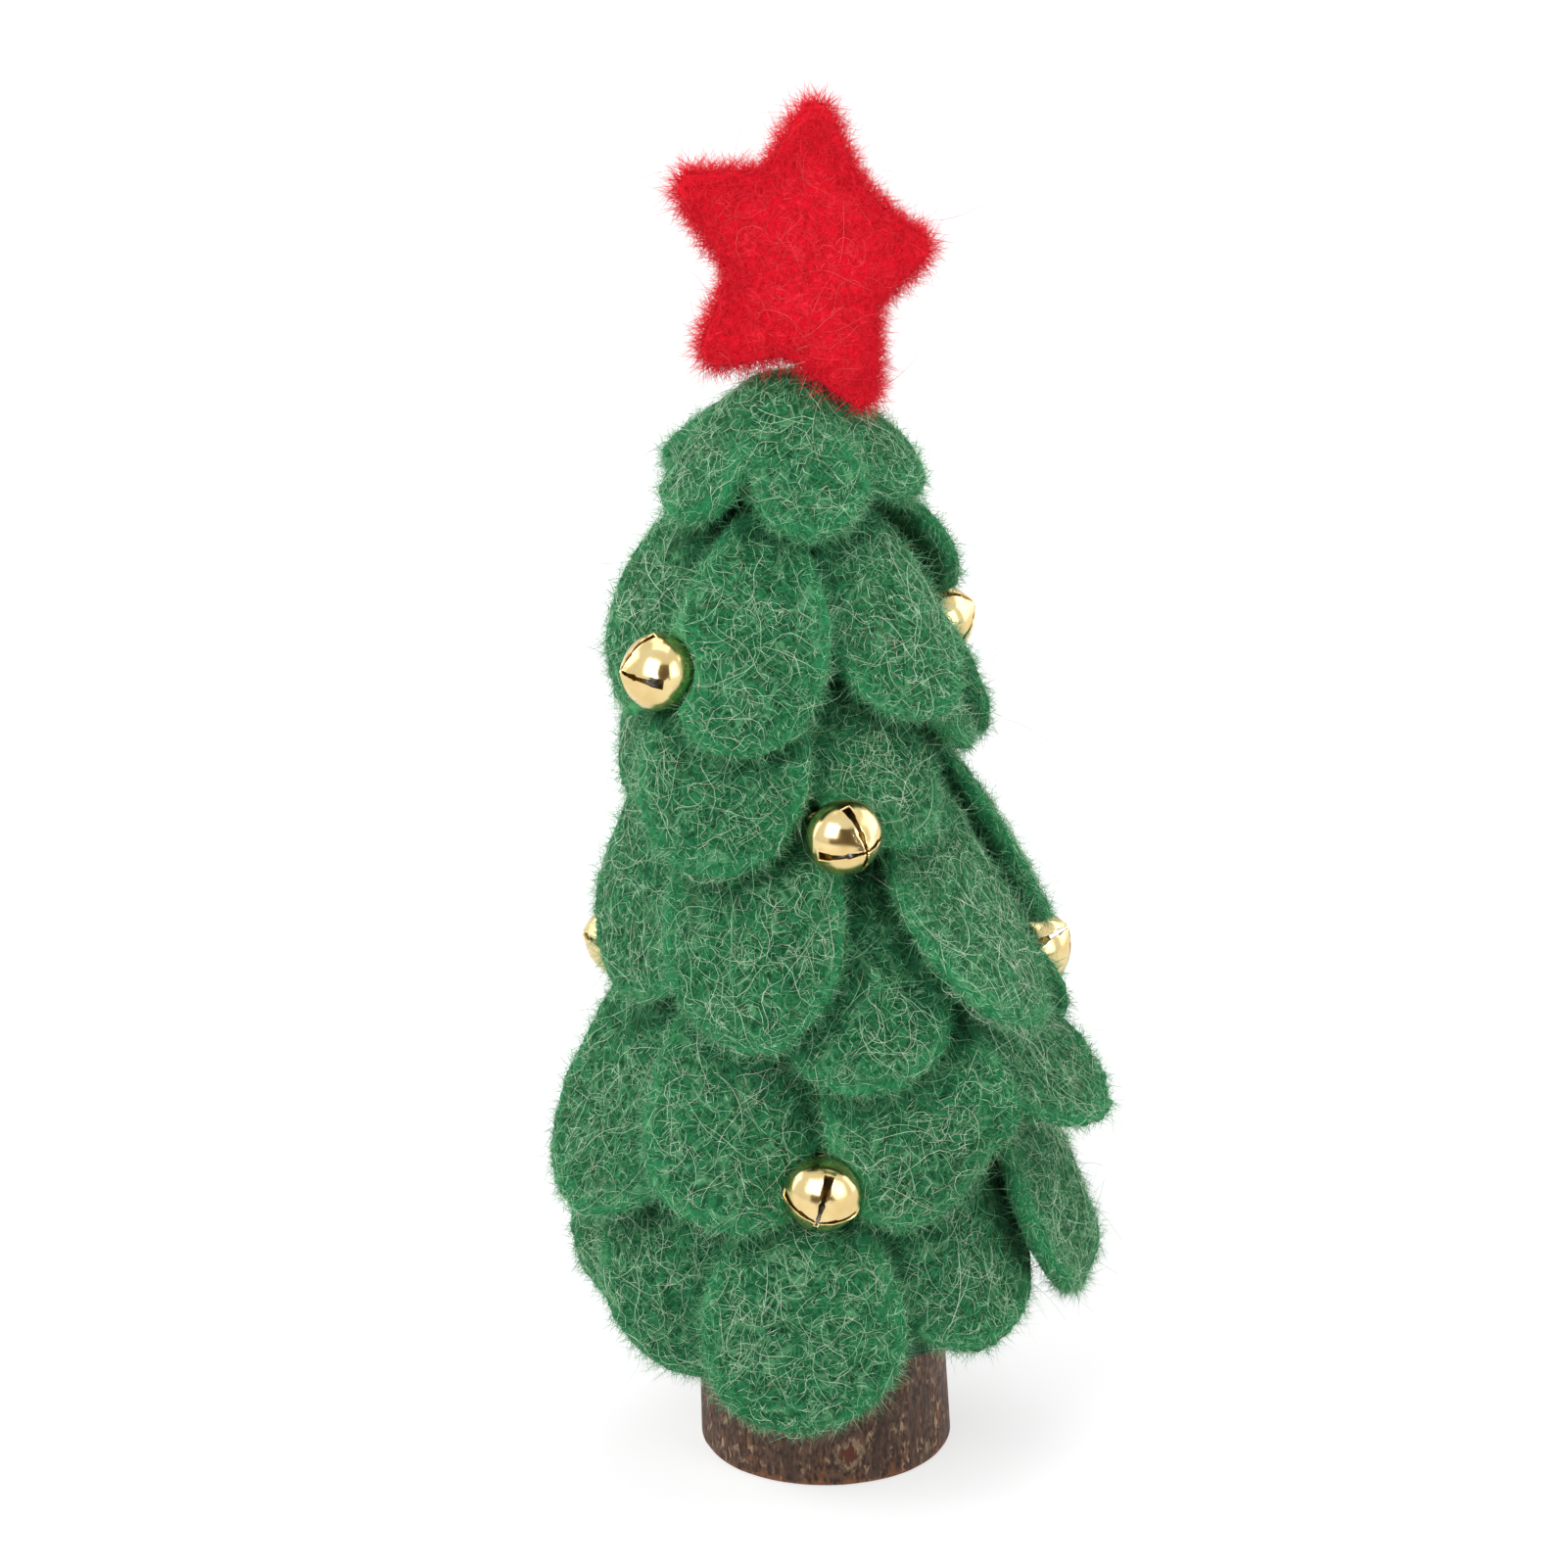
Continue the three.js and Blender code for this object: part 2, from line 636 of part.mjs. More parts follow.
const envelope = new Envelope();
const sheets = [];
for (const tier of tiers) {
  tier.laid.forEach((laid, k) => {
    const petal = layPetal(tier, laid, envelope);
    petal.name = `${tier.name}_${k + 1}`;
    sheets.push(petal);
  });
}
const cap = flowerCap(envelope);
cap.name = 'crown_cap';
sheets.push(cap);

const star = feltStar();
star.name = 'top_star';
tree.add(star);

const pocket = bellPocket();
const pelletDrop = bellRadius - bellWall - pelletRadius - seatGap;
bells.forEach((aim, k) => {
  const bell = seatBell(aim, envelope);
  bell.name = `jingle_bell_${k + 1}`;
  tree.add(bell);
  for (const piece of [core, ...sheets]) makeRoom(piece, bell, pocket);

  // The pellet lies loose at the lowest place in its bell
  const pellet = new THREE.Mesh(new THREE.SphereGeometry(pelletRadius, ballRings, ballRings / 2), steel);
  pellet.name = `bell_pellet_${k + 1}`;
  pellet.position.copy(bell.position).applyMatrix4(tree.matrix);
  pellet.position.z -= pelletDrop;
  ornament.add(pellet);
});
tree.add(...sheets);

export default ornament;
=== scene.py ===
"""A small felt tree on a bark log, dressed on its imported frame: wool petals, a cap, a star and bells."""
import logging
import math
from collections.abc import Iterator
from contextlib import contextmanager
from dataclasses import dataclass, field
from enum import Enum
from typing import ClassVar

import bpy
import numpy as np
from bpy.types import ID, Material, Mesh, Node, NodeSocket, NodeTree, Object
from mathutils import Matrix, Vector
from mathutils.bvhtree import BVHTree


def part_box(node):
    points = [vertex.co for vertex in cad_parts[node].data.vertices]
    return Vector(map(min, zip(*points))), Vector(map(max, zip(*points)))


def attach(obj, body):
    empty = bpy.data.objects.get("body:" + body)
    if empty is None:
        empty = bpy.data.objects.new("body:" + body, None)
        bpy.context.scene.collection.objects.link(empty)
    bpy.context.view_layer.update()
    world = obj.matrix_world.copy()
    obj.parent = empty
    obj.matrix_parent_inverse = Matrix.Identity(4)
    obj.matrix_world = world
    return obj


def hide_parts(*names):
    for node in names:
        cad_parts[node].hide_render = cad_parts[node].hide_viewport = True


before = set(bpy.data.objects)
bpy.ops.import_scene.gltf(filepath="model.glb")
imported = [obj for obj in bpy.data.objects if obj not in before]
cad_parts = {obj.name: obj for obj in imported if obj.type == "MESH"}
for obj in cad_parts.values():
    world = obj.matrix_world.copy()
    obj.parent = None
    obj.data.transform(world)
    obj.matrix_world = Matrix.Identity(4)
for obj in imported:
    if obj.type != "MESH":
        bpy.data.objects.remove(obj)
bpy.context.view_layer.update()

MM = 0.001
TREE = "tree"
LEAN = math.radians(2.2)
log = logging.getLogger("felt_tree")

Colour = tuple[float, float, float, float]


def shade(red: int, green: int, blue: int) -> Colour:
    """Return an 8-bit display colour as linear RGBA."""
    parts = [c / 255 for c in (red, green, blue)]
    parts = [c / 12.92 if c <= 0.04045 else ((c + 0.055) / 1.055) ** 2.4 for c in parts]
    return (parts[0], parts[1], parts[2], 1.0)


def clear_selection() -> None:
    """Leave edit mode and deselect everything."""
    if bpy.context.mode != "OBJECT":
        bpy.ops.object.mode_set(mode="OBJECT")
    bpy.ops.object.select_all(action="DESELECT")


def take(obj: Object) -> None:
    """Make one object the only selected and the active one."""
    clear_selection()
    obj.select_set(True)
    bpy.context.view_layer.objects.active = obj


@contextmanager
def editing(selection: str | None = "SELECT") -> Iterator[None]:
    """Edit the active mesh, with all of it selected first, or none, or what was selected before."""
    bpy.ops.object.mode_set(mode="EDIT")
    if selection:
        bpy.ops.mesh.select_all(action=selection)
    yield
    bpy.ops.object.mode_set(mode="OBJECT")


def new_object(name: str, data: ID) -> Object:
    """Return a new object in the scene that holds some data."""
    obj = bpy.data.objects.new(name, data)
    bpy.context.scene.collection.objects.link(obj)
    return obj


def read_rows(items: bpy.types.bpy_prop_collection, name: str, width: int, kind: type) -> np.ndarray:
    """Return one property of a mesh's parts, with a row for each part."""
    rows = np.empty(len(items) * width, kind)
    items.foreach_get(name, rows)
    return rows.reshape(-1, width)


def read_points(mesh: Mesh) -> np.ndarray:
    """Return the places of a mesh's vertices."""
    return read_rows(mesh.vertices, "co", 3, np.float32)


def write_points(mesh: Mesh, points: np.ndarray) -> None:
    """Move a mesh's vertices to new places."""
    mesh.vertices.foreach_set("co", points.astype(np.float32).ravel())
    mesh.update()


def finish_with(obj: Object, kind: str, **settings: object) -> None:
    """Add one modifier to an object and apply it.

    Args:
        obj: The object that gets it.
        kind: The modifier's type.
        settings: Its properties.
    """
    take(obj)
    modifier = obj.modifiers.new(kind.lower(), kind)
    for name, value in settings.items():
        setattr(modifier, name, value)
    bpy.ops.object.modifier_apply(modifier=modifier.name)


def settle_in(obj: Object, place: Matrix) -> None:
    """Move an object's mesh to a place, with the object left at the origin."""
    obj.data.transform(place)
    obj.matrix_world = Matrix.Identity(4)
    obj.data.update()


def add_piece(obj: Object, body: str, slot: str, *nodes: str) -> None:
    """Tie a finished piece to the frame.

    Args:
        obj: The piece.
        body: The body that it rides on.
        slot: Not used.
        nodes: The nodes that it stands for.
    """
    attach(obj, body)
    if nodes:
        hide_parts(*nodes)
    log.info("%s: %d faces, on %s", obj.name, len(obj.data.polygons), body)


class Graph:
    """Shader nodes of one material or group, each added with its inputs in one call."""

    def __init__(self, tree: NodeTree) -> None:
        """Keep the tree that the nodes go in."""
        self.tree = tree

    def add(self, kind: str, inputs: dict | None = None, **settings: object) -> Node:
        """Add a node.

        Args:
            kind: Its type, without the ShaderNode that it starts with.
            inputs: A value or a socket for each input, by name or number.
            settings: Its properties.

        Returns:
            The node.
        """
        node = self.tree.nodes.new(f"ShaderNode{kind}")
        for name, value in settings.items():
            setattr(node, name, value)
        for key, value in (inputs or {}).items():
            if isinstance(value, NodeSocket):
                self.tree.links.new(value, node.inputs[key])
            else:
                node.inputs[key].default_value = value
        return node

    def math(self, operation: str, a: object, b: object = 0.0, clamp: bool = False) -> NodeSocket:
        """Return the result of a Math node."""
        return self.add("Math", {0: a, 1: b}, operation=operation, use_clamp=clamp).outputs[0]

    def times(self, a: object, b: object) -> NodeSocket:
        """Return the product of two values."""
        return self.math("MULTIPLY", a, b)

    def length(self, vector: object) -> NodeSocket:
        """Return the length of a vector."""
        return self.add("VectorMath", {0: vector}, operation="LENGTH").outputs["Value"]

    def mix(self, share: object, a: object, b: object) -> NodeSocket:
        """Return two colours mixed by a share."""
        return self.add("Mix", {0: share, 6: a, 7: b}, data_type="RGBA").outputs[2]

    def rescale(self, value: object, low: float, high: float, start: float = 0.0, end: float = 1.0):
        """Return a value mapped from one range to another and held inside it."""
        return self.add("MapRange", {0: value, 1: low, 2: high, 3: start, 4: end}).outputs[0]

    def noise(self, place: object, scale: object, detail: float = 2.0, twist: float = 0.0):
        """Return the value of a Noise Texture at a place."""
        node = self.add("TexNoise", {"Vector": place, "Scale": scale, "Detail": detail, "Distortion": twist})
        return node.outputs[0]

    def ramp(self, value: object, stops: list[tuple[float, Colour]]) -> NodeSocket:
        """Return the colour of a Color Ramp at a value."""
        node = self.add("ValToRGB", {0: value})
        elements = node.color_ramp.elements
        while len(elements) < len(stops):
            elements.new(0.5)
        for element, (place, colour) in zip(elements, stops):
            element.position = place
            element.color = colour
        return node.outputs[0]

    def place(self) -> NodeSocket:
        """Return the object coordinates."""
        return self.add("TexCoord").outputs["Object"]

    def stretched(self, scale: tuple[float, float, float], shift: tuple[float, float, float] = (0, 0, 0)):
        """Return the object coordinates, shifted and stretched."""
        node = self.add("Mapping", {"Vector": self.place(), "Location": shift, "Scale": scale})
        return node.outputs[0]

    def attribute(self, name: str) -> NodeSocket:
        """Return a value that is kept on the mesh."""
        return self.add("Attribute", attribute_name=name).outputs["Fac"]

    def seen(self) -> NodeSocket:
        """Return 1 for rays that show things, in a mirror or through glass too, and 0 for others."""
        path = self.add("LightPath").outputs
        seen = self.math("MAXIMUM", path["Is Camera Ray"], path["Is Glossy Ray"])
        return self.math("MAXIMUM", seen, path["Is Transmission Ray"])

    def bump(self, height: object, depth: float, strength: float = 1.0) -> NodeSocket:
        """Return the normal of a Bump node."""
        node = self.add("Bump", {"Strength": strength, "Distance": depth, "Height": height})
        return node.outputs[0]


class Effect(Enum):
    """Effects that more than one finish uses, each a node group."""

    STRANDS = "wool_strands"
    MOTTLE = "soft_mottle"
    PITS = "fine_pits"

    def group(self) -> NodeTree:
        """Return the effect's group, made at its first use."""
        found = bpy.data.node_groups.get(self.value)
        if found:
            return found
        tree = bpy.data.node_groups.new(self.value, "ShaderNodeTree")
        graph = Graph(tree)
        {Effect.STRANDS: strand_nodes, Effect.MOTTLE: mottle_nodes, Effect.PITS: pit_nodes}[self](graph)
        return tree


def group_ends(graph: Graph, inputs: dict[str, float], outputs: list[str]) -> tuple:
    """Make a group's sockets.

    Args:
        graph: The group's nodes.
        inputs: The default of each named input.
        outputs: The names of its outputs.

    Returns:
        The nodes at the group's two ends.
    """
    for name, value in inputs.items():
        socket = graph.tree.interface.new_socket(name=name, in_out="INPUT", socket_type="NodeSocketFloat")
        socket.default_value = value
    for name in outputs:
        graph.tree.interface.new_socket(name=name, in_out="OUTPUT", socket_type="NodeSocketFloat")
    return graph.tree.nodes.new("NodeGroupInput"), graph.tree.nodes.new("NodeGroupOutput")


def strand_nodes(graph: Graph) -> None:
    """Fill the group of matted strands: contour lines of warped noise, at three sizes."""
    start, end = group_ends(graph, {"Scale": 420.0, "Width": 0.05}, ["Fine", "Long", "Height"])
    lines = []
    for shift, ratio, width in ((0.0, 1.0, 1.0), (0.073, 1.6, 1.3), (0.131, 0.6, 0.55)):
        place = graph.stretched((1, 1, 1), (shift, -shift, 2 * shift))
        scale = graph.times(start.outputs["Scale"], ratio)
        value = graph.noise(place, scale, 1.0, 1.2)
        away = graph.math("ABSOLUTE", graph.math("SUBTRACT", value, 0.5))
        reach = graph.times(start.outputs["Width"], width)
        lines.append(graph.math("SUBTRACT", 1.0, graph.math("DIVIDE", away, reach), True))
    fine = graph.math("MAXIMUM", lines[0], lines[1])
    height = graph.math("ADD", graph.times(fine, 0.6), lines[2], True)
    for name, socket in (("Fine", fine), ("Long", lines[2]), ("Height", height)):
        graph.tree.links.new(socket, end.inputs[name])


def mottle_nodes(graph: Graph) -> None:
    """Fill the group of soft blotches, from 0 to 1."""
    start, end = group_ends(graph, {"Scale": 100.0, "Contrast": 0.15}, ["Blotch"])
    value = graph.noise(graph.place(), start.outputs["Scale"], 3.0, 0.3)
    low = graph.math("SUBTRACT", 0.5, start.outputs["Contrast"])
    high = graph.math("ADD", 0.5, start.outputs["Contrast"])
    spread = graph.add("MapRange", {0: value, 1: low, 2: high})
    graph.tree.links.new(spread.outputs[0], end.inputs["Blotch"])


def pit_nodes(graph: Graph) -> None:
    """Fill the group of fine pits: 1 in a pit and 0 between them."""
    start, end = group_ends(graph, {"Scale": 1500.0, "Size": 0.3}, ["Pit"])
    cells = graph.add("TexVoronoi", {"Vector": graph.place(), "Scale": start.outputs["Scale"]})
    reach = graph.math("DIVIDE", cells.outputs["Distance"], start.outputs["Size"])
    graph.tree.links.new(graph.math("SUBTRACT", 1.0, reach, True), end.inputs["Pit"])


def use_effect(graph: Graph, effect: Effect, **values: float) -> Node:
    """Place an effect's group in a material with its own values, and return the node."""
    node = graph.add("Group", node_tree=effect.group())
    for name, value in values.items():
        node.inputs[name].default_value = value
    return node


def mottle(graph: Graph, scale: float, contrast: float) -> NodeSocket:
    """Return soft blotches of a scale, from 0 to 1."""
    return use_effect(graph, Effect.MOTTLE, Scale=scale, Contrast=contrast).outputs["Blotch"]


def fine_pits(graph: Graph, scale: float, size: float) -> NodeSocket:
    """Return fine pits of a scale, 1 in a pit and 0 between them."""
    return use_effect(graph, Effect.PITS, Scale=scale, Size=size).outputs["Pit"]


def new_material(name: str) -> tuple[Material, Graph]:
    """Return a new material without nodes, and its graph."""
    material = bpy.data.materials.new(name)
    material.use_nodes = True
    material.node_tree.nodes.clear()
    return material, Graph(material.node_tree)


@dataclass(frozen=True)
class Finish:
    """A material that is made once under its own name."""

    name: str
    made: ClassVar[dict[str, Material]] = {}

    def material(self) -> Material:
        """Return the finish's material, made at its first use."""
        if self.name not in self.made:
            material, graph = new_material(self.name)
            shader = self.nodes(graph)
            graph.add("OutputMaterial", {"Surface": shader.outputs[0]})
            self.made[self.name] = material
        return self.made[self.name]

    def nodes(self, graph: Graph) -> Node:
        """Fill the material and return its shader."""
        raise NotImplementedError


@dataclass(frozen=True)
class FeltFinish(Finish):
    """Dyed wool felt: blotched and covered in matted strands, with painted light that makes it paler and
    brighter at its cut rims, and painted shade in the gaps where other felt shelters it.
    """

    deep: Colour
    body: Colour
    strand: Colour
    hair: Colour
    # rim is the colour of the painted light along the cut rims
    rim: Colour
    # gap is the colour of the painted shade in sheltered gaps
    gap: Colour
    scale: float

    def nodes(self, graph: Graph) -> Node:
        """Fill the material and return its shader."""
        wide = mottle(graph, 110.0, 0.2)
        close = mottle(graph, 1100.0, 0.14)
        wool = use_effect(graph, Effect.STRANDS, Scale=self.scale, Width=0.07)
        dye_and_painted_light = graph.mix(graph.times(close, 0.7), self.deep, self.body)
        dye_and_painted_light = graph.mix(graph.times(wide, 0.35), dye_and_painted_light, self.body)
        dye_and_painted_light = graph.mix(graph.times(wool.outputs["Fine"], 0.55), dye_and_painted_light, self.strand)
        dye_and_painted_light = graph.mix(graph.times(wool.outputs["Long"], 0.5), dye_and_painted_light, self.hair)
        # Painted light: the cut rims and a band beside them turn paler and brighter, standing in for the
        # light that the fuzz there catches and lets through
        edge = graph.attribute("rim")
        dye_and_painted_light = graph.mix(graph.times(edge, 0.45), dye_and_painted_light, self.rim)
        # Painted shade: the colour goes toward the dark gap colour where few ways out are open, in the gaps
        # under and between pieces
        free = graph.attribute("open")
        dye_and_painted_light = graph.mix(graph.rescale(free, 0.15, 0.92, 0.96, 0.0), dye_and_painted_light, self.gap)
        return graph.add("BsdfPrincipled", {
            "Base Color": dye_and_painted_light, "Roughness": 0.92, "Specular IOR Level": 0.15, "Sheen Weight": 0.45,
            "Sheen Roughness": 0.5, "Sheen Tint": self.hair,
            "Normal": graph.bump(wool.outputs["Height"], 0.12 * MM, 0.9),
        })


@dataclass(frozen=True)
class FibreFinish(Finish):
    """Loose wool fibres, coloured along a ramp by each fibre's own tone, with painted shade: the tone of
    fibres in sheltered places is moved toward the dark end.
    """

    tones: tuple[tuple[float, Colour], ...]
    glow: Colour

    def nodes(self, graph: Graph) -> Node:
        """Fill the material and return its shader."""
        tone_and_shade = graph.attribute("tone_and_shade")
        return graph.add("BsdfPrincipled", {
            "Base Color": graph.ramp(tone_and_shade, list(self.tones)), "Roughness": 0.7,
            "Specular IOR Level": 0.2, "Sheen Weight": 0.3, "Sheen Roughness": 0.5, "Sheen Tint": self.glow,
        })


@dataclass(frozen=True)
class BarkFinish(Finish):
    """Thin dark bark with upright streaks, rubbed orange patches, pale specks and one knot."""

    dark: Colour
    brown: Colour
    rust: Colour
    pale: Colour
    heart: Colour
    knot: tuple[float, float, float]

    def nodes(self, graph: Graph) -> Node:
        """Fill the material and return its shader."""
        grain = graph.noise(graph.stretched((1, 1, 0.45)), 2300.0, 6.0, 0.2)
        streak = graph.noise(graph.stretched((1, 1, 0.14), (0.01, 0, 0)), 1000.0, 4.0, 0.4)
        broad = graph.noise(graph.stretched((1, 1, 0.5), (0.02, 0, 0)), 280.0, 4.0, 0.6)
        fleck = graph.noise(graph.stretched((1, 1, 0.55), (0, 0.03, 0)), 1500.0, 4.0, 0.5)
        bark = graph.mix(graph.rescale(grain, 0.36, 0.64), self.dark, self.brown)
        bark = graph.mix(graph.rescale(streak, 0.5, 0.66, 0.0, 0.55), bark, self.dark)
        rubbed = graph.rescale(grain, 0.42, 0.6, 0.0, 0.8)
        rubbed = graph.times(graph.rescale(broad, 0.56, 0.7), rubbed)
        bark = graph.mix(rubbed, bark, self.rust)
        flake = graph.times(graph.rescale(fleck, 0.54, 0.64), graph.rescale(streak, 0.56, 0.44))
        flake = graph.times(flake, graph.rescale(broad, 0.38, 0.54, 0.15, 0.9))
        bark = graph.mix(flake, bark, self.pale)

        up = graph.add("SeparateXYZ", {0: graph.place()}).outputs[2]
        ragged = graph.math("ADD", up, graph.times(broad, -1.2 * MM))
        edge = graph.rescale(ragged, -0.3 * MM, 0.0, 1.0, 0.0)
        bark = graph.mix(graph.times(edge, graph.rescale(grain, 0.3, 0.6)), bark, self.rust)

        near = graph.add("VectorMath", {0: graph.place(), 1: self.knot}, operation="SUBTRACT").outputs[0]
        oval = graph.add("VectorMath", {0: near, 1: (820.0, 160.0, 680.0)}, operation="MULTIPLY").outputs[0]
        away = graph.length(oval)
        away = graph.math("ADD", away, graph.rescale(fleck, 0.3, 0.7, -0.45, 0.45))
        inside = graph.rescale(away, 0.5, 0.8, 1.0, 0.0)
        bark = graph.mix(inside, bark, graph.mix(grain, self.dark, self.heart))
        ring = graph.times(graph.rescale(away, 0.7, 0.95), graph.rescale(away, 0.95, 1.3, 1.0, 0.0))
        ring = graph.times(ring, graph.rescale(grain, 0.36, 0.56, 0.2, 0.9))
        bark = graph.mix(ring, bark, self.pale)

        height = graph.math("ADD", graph.times(grain, 0.7), graph.times(broad, 0.8))
        height = graph.math("ADD", height, graph.times(ring, 0.5))
        rough = graph.rescale(broad, 0.3, 0.7, 0.62, 0.9)
        return graph.add("BsdfPrincipled", {
            "Base Color": bark, "Roughness": rough, "Specular IOR Level": 0.35,
            "Normal": graph.bump(height, 0.35 * MM),
        })


@dataclass(frozen=True)
class SawnFinish(Finish):
    """Sawn end of the branch: growth rings about an off-centre pith, with saw marks."""

    early: Colour
    late: Colour

    def nodes(self, graph: Graph) -> Node:
        """Fill the material and return its shader."""
        wobble = graph.noise(graph.place(), 160.0, 2.0)
        flat = graph.stretched((1, 1, 0), (0.0014, -0.001, 0))
        reach = graph.length(flat)
        reach = graph.math("ADD", reach, graph.times(wobble, 0.0016))
        ring = graph.math("FRACT", graph.times(reach, 900.0))
        wood = graph.mix(graph.rescale(ring, 0.55, 1.0), self.early, self.late)
        saw = graph.noise(graph.stretched((1, 0.04, 1)), 2600.0, 1.0)
        blotch = mottle(graph, 220.0, 0.25)
        wood = graph.mix(graph.times(blotch, 0.3), wood, self.late)
        return graph.add("BsdfPrincipled", {
            "Base Color": wood, "Roughness": graph.rescale(saw, 0.3, 0.7, 0.7, 0.88),
            "Normal": graph.bump(saw, 0.1 * MM),
        })


@dataclass(frozen=True)
class GoldFinish(Finish):
    """Bright gold plate on pressed sheet, with faint hazy spots and pits."""

    bright: Colour
    warm: Colour

    def nodes(self, graph: Graph) -> Node:
        """Fill the material and return its shader."""
        haze = mottle(graph, 420.0, 0.2)
        pits = fine_pits(graph, 2400.0, 0.22)
        wave = graph.noise(graph.place(), 300.0, 1.0)
        height = graph.math("SUBTRACT", graph.times(wave, 0.3), graph.times(pits, 0.2))
        return graph.add("BsdfPrincipled", {
            "Base Color": graph.mix(haze, self.bright, self.warm), "Metallic": 1.0,
            "Roughness": graph.rescale(haze, 0.0, 1.0, 0.13, 0.22),
            "Normal": graph.bump(height, 0.05 * MM, 0.6),
        })


@dataclass(frozen=True)
class FoamFinish(Finish):
    """Dense green craft foam with open pores."""

    face: Colour
    pore: Colour

    def nodes(self, graph: Graph) -> Node:
        """Fill the material and return its shader."""
        pores = fine_pits(graph, 1300.0, 0.42)
        blotch = mottle(graph, 260.0, 0.25)
        foam = graph.mix(graph.times(blotch, 0.4), self.face, self.pore)
        # Painted shade: the pits take the darker pore colour, for the shade inside the pores; above, the
        # blotches mix toward the same colour as a random tone
        foam = graph.mix(pores, foam, self.pore)
        return graph.add("BsdfPrincipled", {
            "Base Color": foam, "Roughness": graph.rescale(blotch, 0.0, 1.0, 0.8, 0.95),
            "Normal": graph.bump(graph.math("SUBTRACT", 1.0, pores), 0.25 * MM),
        })


@dataclass(frozen=True)
class SteelFinish(Finish):
    """Plain tumbled steel with fine pits and a little grey film."""

    bright: Colour
    dull: Colour

    def nodes(self, graph: Graph) -> Node:
        """Fill the material and return its shader."""
        film = mottle(graph, 900.0, 0.2)
        pits = fine_pits(graph, 3200.0, 0.3)
        return graph.add("BsdfPrincipled", {
            "Base Color": graph.mix(film, self.bright, self.dull), "Metallic": 1.0,
            "Roughness": graph.rescale(film, 0.0, 1.0, 0.28, 0.5),
            "Normal": graph.bump(graph.math("SUBTRACT", 1.0, pits), 0.03 * MM),
        })


# In both felts, rim is the colour of painted light at the cut rims and gap the colour of painted shade in
# sheltered gaps
GREEN_FELT = FeltFinish(
    "green_wool_felt", deep=shade(9, 45, 26), body=shade(26, 99, 57), strand=shade(54, 146, 94),
    hair=shade(122, 182, 132), rim=shade(52, 158, 100), gap=shade(5, 25, 16), scale=420.0,
)
RED_FELT = FeltFinish(
    "red_wool_felt", deep=shade(224, 10, 34), body=shade(238, 14, 42), strand=shade(246, 30, 54),
    hair=shade(250, 64, 80), rim=shade(255, 34, 62), gap=shade(150, 3, 18), scale=560.0,
)
# In both fibre ramps, the stop at 0.14 is the darkest dyed colour, which fibres in sheltered places are
# dimmed toward as painted shade; tones under it are undyed
GREEN_FIBRES = FibreFinish("green_wool_fibres", (
    (0.0, shade(104, 88, 64)), (0.1, shade(92, 90, 62)), (0.14, shade(8, 36, 23)), (0.35, shade(31, 107, 62)),
    (0.5, shade(54, 150, 94)), (0.75, shade(148, 214, 162)), (1.0, shade(238, 252, 226)),
), glow=shade(130, 190, 140))
RED_FIBRES = FibreFinish("red_wool_fibres", (
    (0.0, shade(140, 6, 22)), (0.1, shade(170, 6, 26)), (0.14, shade(190, 6, 28)), (0.35, shade(222, 10, 36)),
    (0.55, shade(244, 24, 50)), (0.75, shade(252, 58, 74)), (1.0, shade(255, 132, 132)),
), glow=shade(255, 72, 82))
BARK = BarkFinish(
    "branch_bark", dark=shade(54, 40, 34), brown=shade(106, 80, 65), rust=shade(142, 92, 62),
    pale=shade(188, 158, 126), heart=shade(122, 60, 42),
    knot=(2.4 * MM, -13.0 * MM, 3.7 * MM),
)
SAWN_END = SawnFinish("sawn_branch_end", early=shade(190, 150, 108), late=shade(142, 98, 62))
GOLD = GoldFinish("polished_gold_plate", bright=shade(228, 207, 152), warm=shade(218, 189, 128))
FOAM = FoamFinish("green_craft_foam", face=shade(44, 92, 66), pore=shade(20, 48, 34))
STEEL = SteelFinish("tumbled_steel", bright=shade(168, 168, 166), dull=shade(126, 126, 122))


class Strand(Enum):
    """Kinds of fibre in the coat, by how they lie."""

    MATTED = "matted"
    CURLED = "curled"
    STANDING = "standing"
    RIM = "rim"
    LOOSE = "loose"


@dataclass(frozen=True)
class StrandSize:
    """One kind of fibre: how many, how long and thick, how wavy, and its tones."""

    per_mm2: float
    length: tuple[float, float]
    width: tuple[float, float]
    bend: float
    lift: float
    rings: int
    tones: tuple[float, float]
    odd_share: float
    odd_tones: tuple[float, float]


GREEN_COAT: dict[Strand, StrandSize] = {
    Strand.MATTED: StrandSize(5.2, (1.0, 3.6), (0.053, 0.086), 1.5, 0.16, 1, (0.18, 0.62), 0.22, (0.76, 1.0)),
    Strand.CURLED: StrandSize(0.25, (3.0, 11.0), (0.05, 0.072), 1.9, 0.3, 7, (0.82, 1.0), 0.12, (0.0, 0.08)),
    Strand.STANDING: StrandSize(1.8, (0.7, 2.4), (0.038, 0.058), 1.1, 0.55, 1,
                                (0.42, 0.76), 0.22, (0.82, 1.0)),
    Strand.RIM: StrandSize(10.5, (0.5, 2.0), (0.037, 0.056), 0.9, 0.8, 1, (0.45, 0.74), 0.18, (0.72, 0.98)),
    Strand.LOOSE: StrandSize(0.045, (2.0, 6.0), (0.035, 0.055), 1.6, 0.7, 5, (0.75, 1.0), 0.1, (0.0, 0.08)),
}
